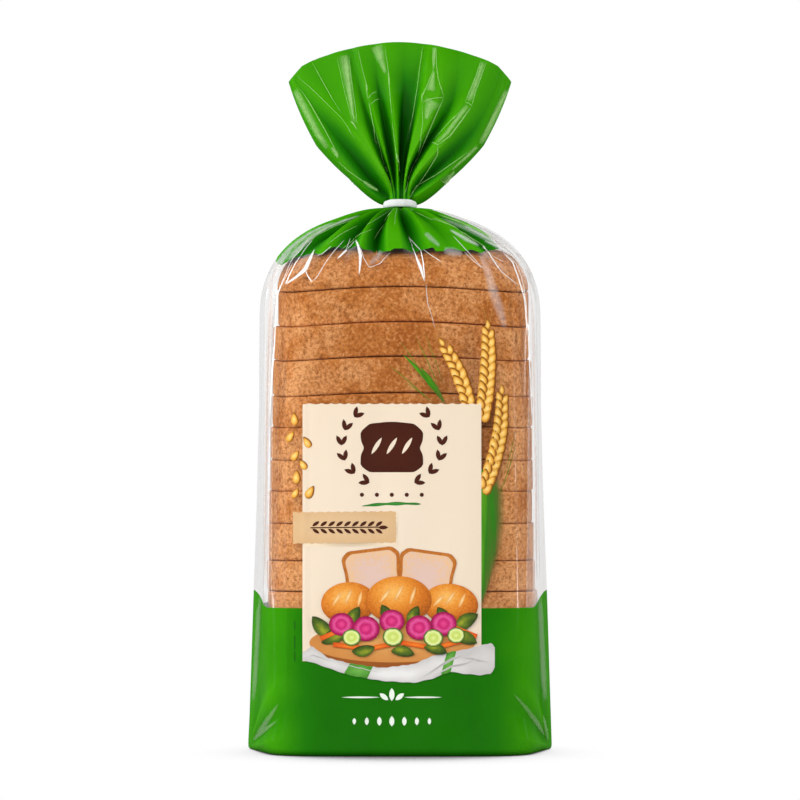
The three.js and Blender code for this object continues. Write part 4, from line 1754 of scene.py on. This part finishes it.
def ink(name, stops, centre=(0.5, 0.5), speck=0.0, grain=900.0):
    """Printed ink: a ramp of colours from a patch's centre outwards, mottled by speck."""
    material, tree, surface = new_material(name, inputs={"Roughness": 0.3, "IOR": 1.4})
    apart = add(tree, "VectorMath", {0: patch_place(tree), 1: (*centre, 0)}, operation="DISTANCE")
    away = apart.outputs["Value"]
    if speck:
        mottle = noise(tree, object_coordinates(tree), grain)
        away = calc(tree, "ADD", away, above(tree, mottle, 0.5, speck))
    tree.links.new(ramp(tree, away, stops), surface.inputs["Base Color"])
    crinkled(tree, surface, 0.2)
    return material


def sRGB(red, green, blue):
    """A linear colour from the usual 0 to 255 values."""
    return tuple(
        value / 12.92 if value <= 0.04045 else ((value + 0.055) / 1.055) ** 2.4
        for value in (red / 255, green / 255, blue / 255)
    )


def linear(stops):
    return [(place, sRGB(*colour)) for place, *colour in stops]


BROAD_LEAF_TONES = ((0.1, 84, 152, 22), (0.4, 40, 118, 12), (0.65, 70, 104, 30), (0.95, 112, 112, 50))
LEAF_STREAKS = (700, 700, 45)  # how close they are across, from front to back, and up
LEAF_STREAK_DRIFT = 0.9
LEAF_BLUR = 3.2


def broad_leaf_ink():
    """Streaked along the leaf, and blurred away towards its right edge."""
    material, tree, surface = new_material("broad leaf ink", inputs={"Roughness": 0.3, "IOR": 1.4})
    across = add(tree, "SeparateXYZ", {"Vector": patch_place(tree)}).outputs["X"]
    streaks = noise(tree, object_coordinates(tree, LEAF_STREAKS), 1.0, 3.0)
    drift = above(tree, streaks, 0.5, LEAF_STREAK_DRIFT)
    colour = ramp(tree, calc(tree, "ADD", across, drift), linear(BROAD_LEAF_TONES))
    tree.links.new(colour, surface.inputs["Base Color"])
    to_edge = above(tree, across, 1.0, -LEAF_BLUR, clamp=True)
    tree.links.new(to_edge, surface.inputs["Alpha"])
    return material


SHEEN_END_POWER = 8.0  # keeps a strip's sheen up to near its ends
# Noise that makes the painted sheen patchy
SHEEN_PATCHES = 500.0
SHEEN_PATCH_SHARE = 0.7
SHEEN_PATCH_REST = 0.65


def painted_sheen_material(name, colour, strength, sharpness):
    """A painted milky sheen on a crease, clear again towards the strip's edges and ends."""
    settings = {"Base Color": (*colour, 1), "Roughness": 0.3, "IOR": 1.3}
    material, tree, surface = new_material(name, inputs=settings)
    axes = add(tree, "SeparateXYZ", {"Vector": patch_place(tree)}).outputs
    alpha = strength
    for axis, power in (("X", SHEEN_END_POWER), ("Y", sharpness)):
        centred = calc(tree, "SUBTRACT", calc(tree, "MULTIPLY", axes[axis], 2.0), 1.0)
        faded = calc(tree, "POWER", calc(tree, "ABSOLUTE", centred), power)
        alpha = calc(tree, "MULTIPLY", alpha, calc(tree, "SUBTRACT", 1.0, faded))
    patches = noise(tree, object_coordinates(tree), SHEEN_PATCHES)
    patchy = calc(tree, "ADD", calc(tree, "MULTIPLY", patches, SHEEN_PATCH_SHARE), SHEEN_PATCH_REST)
    tree.links.new(calc(tree, "MULTIPLY", alpha, patchy, clamp=True), surface.inputs["Alpha"])
    return material


# Every ink: its name, the record's slot that it belongs to, its colours as 0 to 255 with the distance
# from a patch's centre, and what else it is given
INKS = {
    "cream": (
        "cream ink", "print_panel",
        ((0.0, 236, 219, 197), (0.7, 232, 214, 190)),
        {"speck": 0.5, "grain": 60.0},
    ),
    "brown": (
        "brown ink", "print_brown",
        ((0.0, 74, 28, 12), (0.7, 62, 22, 8)),
        {"speck": 0.6, "grain": 1500.0},
    ),
    "green": (
        "leaf green ink", "print_green",
        ((0.0, 60, 140, 50), (0.7, 30, 110, 30)),
        {},
    ),
    "kraft": (
        "kraft ink", "print_panel",
        ((0.0, 222, 190, 148), (0.6, 214, 176, 130)),
        {"speck": 0.4, "grain": 120.0},
    ),
    "shadow": (
        "shaded cream ink", "print_panel",
        ((0.35, 190, 165, 132), (0.56, 236, 216, 188)),
        {},
    ),
    "wheat": (
        "wheat ink", "print_wheat",
        ((0.0, 252, 218, 138), (0.26, 238, 184, 84), (0.42, 206, 138, 44), (0.52, 118, 64, 14)),
        {"centre": (0.45, 0.62), "speck": 0.12},
    ),
    "awn": (
        "awn ink", "print_wheat",
        ((0.0, 196, 150, 74), (0.6, 150, 104, 44)),
        {},
    ),
    "blade": (
        "grass ink", "print_green",
        ((0.0, 96, 160, 22), (0.3, 52, 132, 16), (0.6, 84, 104, 34)),
        {"centre": (0.3, 0.3), "speck": 0.5, "grain": 300.0},
    ),
    "board": (
        "board ink", "print_picture",
        ((0.0, 226, 164, 92), (0.6, 196, 124, 58)),
        {"speck": 0.3, "grain": 150.0},
    ),
    "board edge": (
        "board edge ink", "print_picture",
        ((0.2, 204, 126, 56), (0.6, 150, 82, 30)),
        {"centre": (0.5, 0.9), "speck": 0.2, "grain": 200.0},
    ),
    "toast crust": (
        "toast crust ink", "print_picture",
        ((0.2, 224, 150, 66), (0.52, 178, 100, 36)),
        {"speck": 0.3},
    ),
    "toast crumb": (
        "toast crumb ink", "print_picture",
        ((0.2, 222, 190, 176), (0.5, 230, 188, 146)),
        {"speck": 0.9, "grain": 1100.0},
    ),
    "roll": (
        "roll ink", "print_picture",
        ((0.0, 244, 184, 96), (0.25, 230, 146, 52), (0.45, 204, 112, 30), (0.72, 140, 66, 14)),
        {"centre": (0.42, 0.66), "speck": 0.35, "grain": 1300.0},
    ),
    "score": (
        "score ink", "print_picture",
        ((0.0, 250, 216, 156), (0.55, 226, 160, 84)),
        {},
    ),
    "leaf": (
        "salad ink", "print_picture",
        ((0.0, 150, 160, 40), (0.3, 84, 108, 30), (0.6, 48, 66, 20)),
        {"centre": (0.4, 0.6), "speck": 0.5, "grain": 500.0},
    ),
    "beet": (
        "beet ink", "print_picture",
        (
            (0.0, 226, 70, 140),
            (0.2, 196, 30, 104),
            (0.3, 222, 84, 150),
            (0.42, 180, 24, 92),
            (0.52, 120, 12, 60),
        ),
        {"speck": 0.12},
    ),
    "cucumber": (
        "cucumber ink", "print_picture",
        ((0.0, 222, 232, 150), (0.2, 196, 216, 96), (0.38, 226, 236, 160), (0.46, 70, 110, 24)),
        {"speck": 0.1},
    ),
    "carrot": (
        "carrot ink", "print_picture",
        ((0.0, 240, 130, 40), (0.55, 214, 80, 20)),
        {"speck": 0.2},
    ),
    "cloth": (
        "cloth ink", "print_picture",
        ((0.0, 232, 230, 228), (0.6, 196, 192, 190)),
        {"speck": 0.7, "grain": 90.0},
    ),
    "cloth green": (
        "cloth stripe ink", "print_green",
        ((0.0, 110, 176, 76), (0.6, 70, 140, 40)),
        {"speck": 0.5},
    ),
    "cloth shade": (
        "cloth shade ink", "print_picture",
        ((0.0, 160, 156, 154), (0.5, 206, 203, 200)),
        {},
    ),
    "seam": (
        "seam ink", "print_green",
        ((0.0, 8, 84, 6), (0.7, 6, 74, 6)),
        {},
    ),
    "white": (
        "white ink", "print_panel",
        ((0.0, 236, 244, 232), (0.7, 220, 236, 216)),
        {},
    ),
}


def print_inks():
    inks = {"broad leaf": (broad_leaf_ink(), "print_green")}
    for key, (name, slot, stops, settings) in INKS.items():
        inks[key] = (ink(name, linear(stops), **settings), slot)
    return inks


# Stage


def stage_floor():
    bm = bmesh.new()
    bmesh.ops.create_grid(bm, x_segments=1, y_segments=1, size=8)
    mesh = bpy.data.meshes.new("floor")
    bm.to_mesh(mesh)
    bm.free()
    floor = bpy.data.objects.new("floor", mesh)
    bpy.context.scene.collection.objects.link(floor)
    mesh.materials.append(pale_floor())


CONTACT_REACH = 80 * MM  # how far the painted soft shadow of the bag spreads over the floor
CONTACT_SHADE = greys((0.24, 0.02), (0.38, 0.3), (0.56, 0.86), (0.72, 1))
SHADOW_AXIS = (0, 0.7, 0.7)  # the painted shadow falls to the front: occlusion is counted about this direction, high behind the bag
MIRRORED_FLOOR = 0.6  # how much of the floor's white the shiny film sees
THROWN_GREY = (0.35, 0.35, 0.35, 1)


def pale_floor():
    """White to the eye but for a painted soft shadow at the foot, worked out from occlusion, and grey to
    the light thrown on the bag.
    """
    material, tree, seen = new_material("pale floor", "Emission", {"Strength": 1.0})
    shadow_axis = add(tree, "CombineXYZ", dict(zip("XYZ", SHADOW_AXIS))).outputs["Vector"]
    inputs = {"Distance": CONTACT_REACH, "Normal": shadow_axis}
    shelter = add(tree, "AmbientOcclusion", inputs, samples=16).outputs["AO"]
    tree.links.new(ramp(tree, shelter, CONTACT_SHADE), seen.inputs["Color"])
    thrown = add(tree, "BsdfDiffuse", {"Color": THROWN_GREY})
    rays = add(tree, "LightPath").outputs
    mirrored = calc(tree, "MULTIPLY", rays["Is Glossy Ray"], MIRRORED_FLOOR)
    white = calc(tree, "ADD", rays["Is Camera Ray"], mirrored, clamp=True)
    join_shaders(tree, white, thrown, seen)
    return material


# The soft boxes: place, size, glow, and whether the film mirrors them. The rims draw a bright line down
# the film's corners. The film would show the others, and the sun, as blots.
SOFT_BOXES = {
    "left_rim": ((-0.66, 0.11, 0.2), (0.05, 0.6), 6, True),
    "right_rim": ((0.66, 0.11, 0.2), (0.05, 0.6), 6, True),
    "left_box": ((-0.62, -0.3, 0.2), (0.16, 0.6), 12.5, False),
    "right_box": ((0.62, -0.26, 0.2), (0.12, 0.6), 11, False),
    "back_box": ((0.3, 1.1, 0.75), (0.9, 0.9), 2.0, False),
    "front_box": ((-0.3, -1.1, 0.75), (0.9, 0.5), 2.5, False),
}
LIGHT_AIM = Vector((0, 0, 0.13))
SUN_GLOW = 1.2
SUN_WIDTH = 40  # degrees
SUN_TILT, SUN_TURN = 48, -14  # degrees


def soft_box(name, place, size, glow):
    light = bpy.data.lights.new(name, "AREA")
    light.shape = "RECTANGLE"
    light.size, light.size_y = size
    light.energy = glow * math.pi * size[0] * size[1]
    lamp = bpy.data.objects.new(name, light)
    lamp.location = place
    lamp.rotation_euler = (LIGHT_AIM - Vector(place)).to_track_quat("-Z", "Y").to_euler()
    bpy.context.scene.collection.objects.link(lamp)
    return lamp


def studio_light():
    for name, (place, size, glow, mirrored) in SOFT_BOXES.items():
        soft_box(name, place, size, glow).visible_glossy = mirrored
    sun = bpy.data.lights.new("sun", "SUN")
    sun.energy = SUN_GLOW
    sun.angle = math.radians(SUN_WIDTH)
    lamp = bpy.data.objects.new("sun", sun)
    lamp.rotation_euler = (math.radians(SUN_TILT), 0, math.radians(SUN_TURN))
    lamp.visible_glossy = False
    bpy.context.scene.collection.objects.link(lamp)


# The room's grey from the front, at 0, to behind the bag, at 1: as the film mirrors it, and as it lights
MIRRORED_ROOM = greys((0.38, 0.06), (0.55, 0.3), (0.75, 0.72))
ROOM_GLOW = greys((0.0, 0.24), (0.5, 0.32), (1.0, 0.55))


def studio_world():
    """A pale backdrop behind the bag and a dimmer room in front of it. The eye sees plain white."""
    world = bpy.data.worlds.new("studio")
    bpy.context.scene.world = world
    world.use_nodes = True
    tree = world.node_tree
    tree.nodes.clear()
    direction = add(tree, "SeparateXYZ", {"Vector": add(tree, "TexCoord").outputs["Generated"]})
    behind = calc(tree, "ADD", calc(tree, "MULTIPLY", direction.outputs["Y"], 0.5), 0.5)
    mirrored = ramp(tree, behind, MIRRORED_ROOM)
    glow = ramp(tree, behind, ROOM_GLOW)
    rays = add(tree, "LightPath").outputs
    sky = blend_colour(tree, rays["Is Glossy Ray"], glow, mirrored)
    lit = add(tree, "Background", {"Color": sky})
    seen = add(tree, "Background", {"Color": (1, 1, 1, 1), "Strength": 1.0})
    add(tree, "OutputWorld")
    join_shaders(tree, rays["Is Camera Ray"], lit, seen)


CAMERA_PLACE = Vector((0, -1.8, 0.1053))
CAMERA_AIM = Vector((0, 0, 0.1318))
VIEW_WIDTH = 0.3027  # how much the frame takes in at the bag's middle


def camera():
    data = bpy.data.cameras.new("camera")
    data.sensor_width = 36
    data.lens = data.sensor_width * (CAMERA_AIM - CAMERA_PLACE).length / VIEW_WIDTH
    eye = bpy.data.objects.new("camera", data)
    eye.location = CAMERA_PLACE
    eye.rotation_euler = (CAMERA_AIM - CAMERA_PLACE).to_track_quat("-Z", "Y").to_euler()
    bpy.context.scene.collection.objects.link(eye)
    bpy.context.scene.camera = eye


# Making it all


def finish_piece(piece, material, slot):
    piece.data.materials.append(material)


def film_tree(pieces):
    """What the print is laid on."""
    bm = bmesh.new()
    for piece in pieces:
        bm.from_mesh(piece.data)
    tree = BVHTree.FromBMesh(bm)
    bm.free()
    return tree


def front_print(film):
    inks = print_inks()
    edge, board = board_prints()
    toast_crusts, crumbs, rolls, scores = bread_prints()
    leaves, carrot, beet, cucumber = salad_prints()
    cloth, stripe, folds = cloth_prints()
    laid = {
        "cream": [panel_print(), emblem_cuts()],
        "brown": [emblem_print(), tag_sprig()],
        "green": [stroke_print()],
        "kraft": [tag_print()],
        "shadow": [tag_shadow()],
        "wheat": [wheat_print(), grain_print()],
        "awn": [awn_print()],
        "blade": [blade_print()],
        "broad leaf": [broad_leaf_print()],
        "board": [board],
        "board edge": [edge],
        "toast crust": [toast_crusts],
        "toast crumb": [crumbs],
        "roll": [rolls],
        "score": [scores],
        "leaf": [leaves],
        "carrot": [carrot],
        "beet": [beet],
        "cucumber": [cucumber],
        "cloth": [cloth],
        "cloth green": [stripe],
        "cloth shade": [folds],
        "white": [foot_ornament()],
        "seam": [seam_print()],
    }
    for colour, prints in laid.items():
        material, slot = inks[colour]
        for print_piece in prints:
            finish_piece(print_piece.lay_on(film), material, slot)


# Colours of the painted highlights, sheens and reflections on the film
WHITE_SHEEN = (0.93, 0.93, 0.92)
GREEN_SHEEN = (0.42, 0.74, 0.24)  # painted sheen of the printed fan's creases
FOOT_SHEEN = (0.34, 0.55, 0.24)
EDGE_SHEEN_GREY = (0.42, 0.42, 0.43)
CRUST_REFLECTION_BROWN = (0.6, 0.42, 0.34)
SKIRT_HIGHLIGHTS_FROM = 194  # mm up: a painted highlight strip that starts higher lies on the printed skirt of the shoulder
FAN_HIGHLIGHTS_FROM = 205  # and one that starts above this lies on the fan


def starting(table, low, high=math.inf):
    """The strips whose first point is between two heights in mm."""
    return [strip for strip in table if low < strip[0][1] <= high]


def painted_film_highlights(film):
    # Painted highlights, sheens and reflections, laid on the film in front and mirrored behind
    for name, strips, colour, strength, sharpness in (
        ("painted_highlight_bright", BRIGHT_HIGHLIGHT_STRIPS, WHITE_SHEEN, 0.95, 3.0),
        ("painted_highlight_soft", starting(SOFT_HIGHLIGHT_STRIPS, 0, SKIRT_HIGHLIGHTS_FROM), WHITE_SHEEN, 0.6, 2.0),
        ("painted_highlight_skirt", starting(SOFT_HIGHLIGHT_STRIPS, SKIRT_HIGHLIGHTS_FROM, FAN_HIGHLIGHTS_FROM), GREEN_SHEEN, 0.55, 2.0),
        ("painted_sheen_facets", starting(FACET_SHEEN_STRIPS, 0, FAN_HIGHLIGHTS_FROM), WHITE_SHEEN, 0.22, 1.6),
        ("painted_sheen_sides", SIDE_SHEEN_STRIPS, WHITE_SHEEN, 0.4, 1.6),
        ("painted_sheen_edge", EDGE_SHEEN_STRIPS, EDGE_SHEEN_GREY, 0.5, 2.0),
        ("painted_reflection_crust", CRUST_REFLECTION_STRIPS, CRUST_REFLECTION_BROWN, 0.42, 2.0),
        ("painted_sheen_foot", FOOT_SHEEN_STRIPS, FOOT_SHEEN, 0.3, 2.0),
        ("painted_highlight_fan", starting(SOFT_HIGHLIGHT_STRIPS, FAN_HIGHLIGHTS_FROM), GREEN_SHEEN, 0.6, 2.0),
        ("painted_sheen_fan", starting(FACET_SHEEN_STRIPS, FAN_HIGHLIGHTS_FROM), GREEN_SHEEN, 0.5, 1.6),
    ):
        material = painted_sheen_material(name.replace("_", " "), colour, strength, sharpness)
        finish_piece(painted_sheen_print(name, strips, False).lay_on(film), material, "clear_film")
        back = painted_sheen_print(name + "_back", strips, True).lay_on(film, behind=True)
        finish_piece(back, material, "clear_film")


def build():
    green = green_film()
    clear = clear_film()
    neck_run = SHOULDER_HEIGHT + DOME_RUN
    foot = film_piece("film_foot", 130, full(-FOOT_REACH), foot_edge)
    window = film_piece("film_window", 140, foot_edge, shoulder_edge)
    shoulder = film_piece("film_shoulder", 110, shoulder_edge, full(neck_run))
    fan = fan_piece()
    for piece, material, slot in (
        (foot, green, "bag_film"),
        (window, clear, "clear_film"),
        (shoulder, green, "bag_film"),
        (fan, green, "bag_film"),
    ):
        finish_piece(piece, material, slot)
        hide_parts("bag")
    film = film_tree((foot, window, shoulder, fan))
    front_print(film)
    painted_film_highlights(film)
    crust_finish = crust()
    for piece in loaf():
        finish_piece(piece, crust_finish, "crust")
    tie = tie_piece()
    finish_piece(tie, white_band(), "band")
    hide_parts("neck_band")


bpy.context.scene.view_settings.view_transform = "Standard"
build()
stage_floor()
studio_light()
studio_world()
camera()
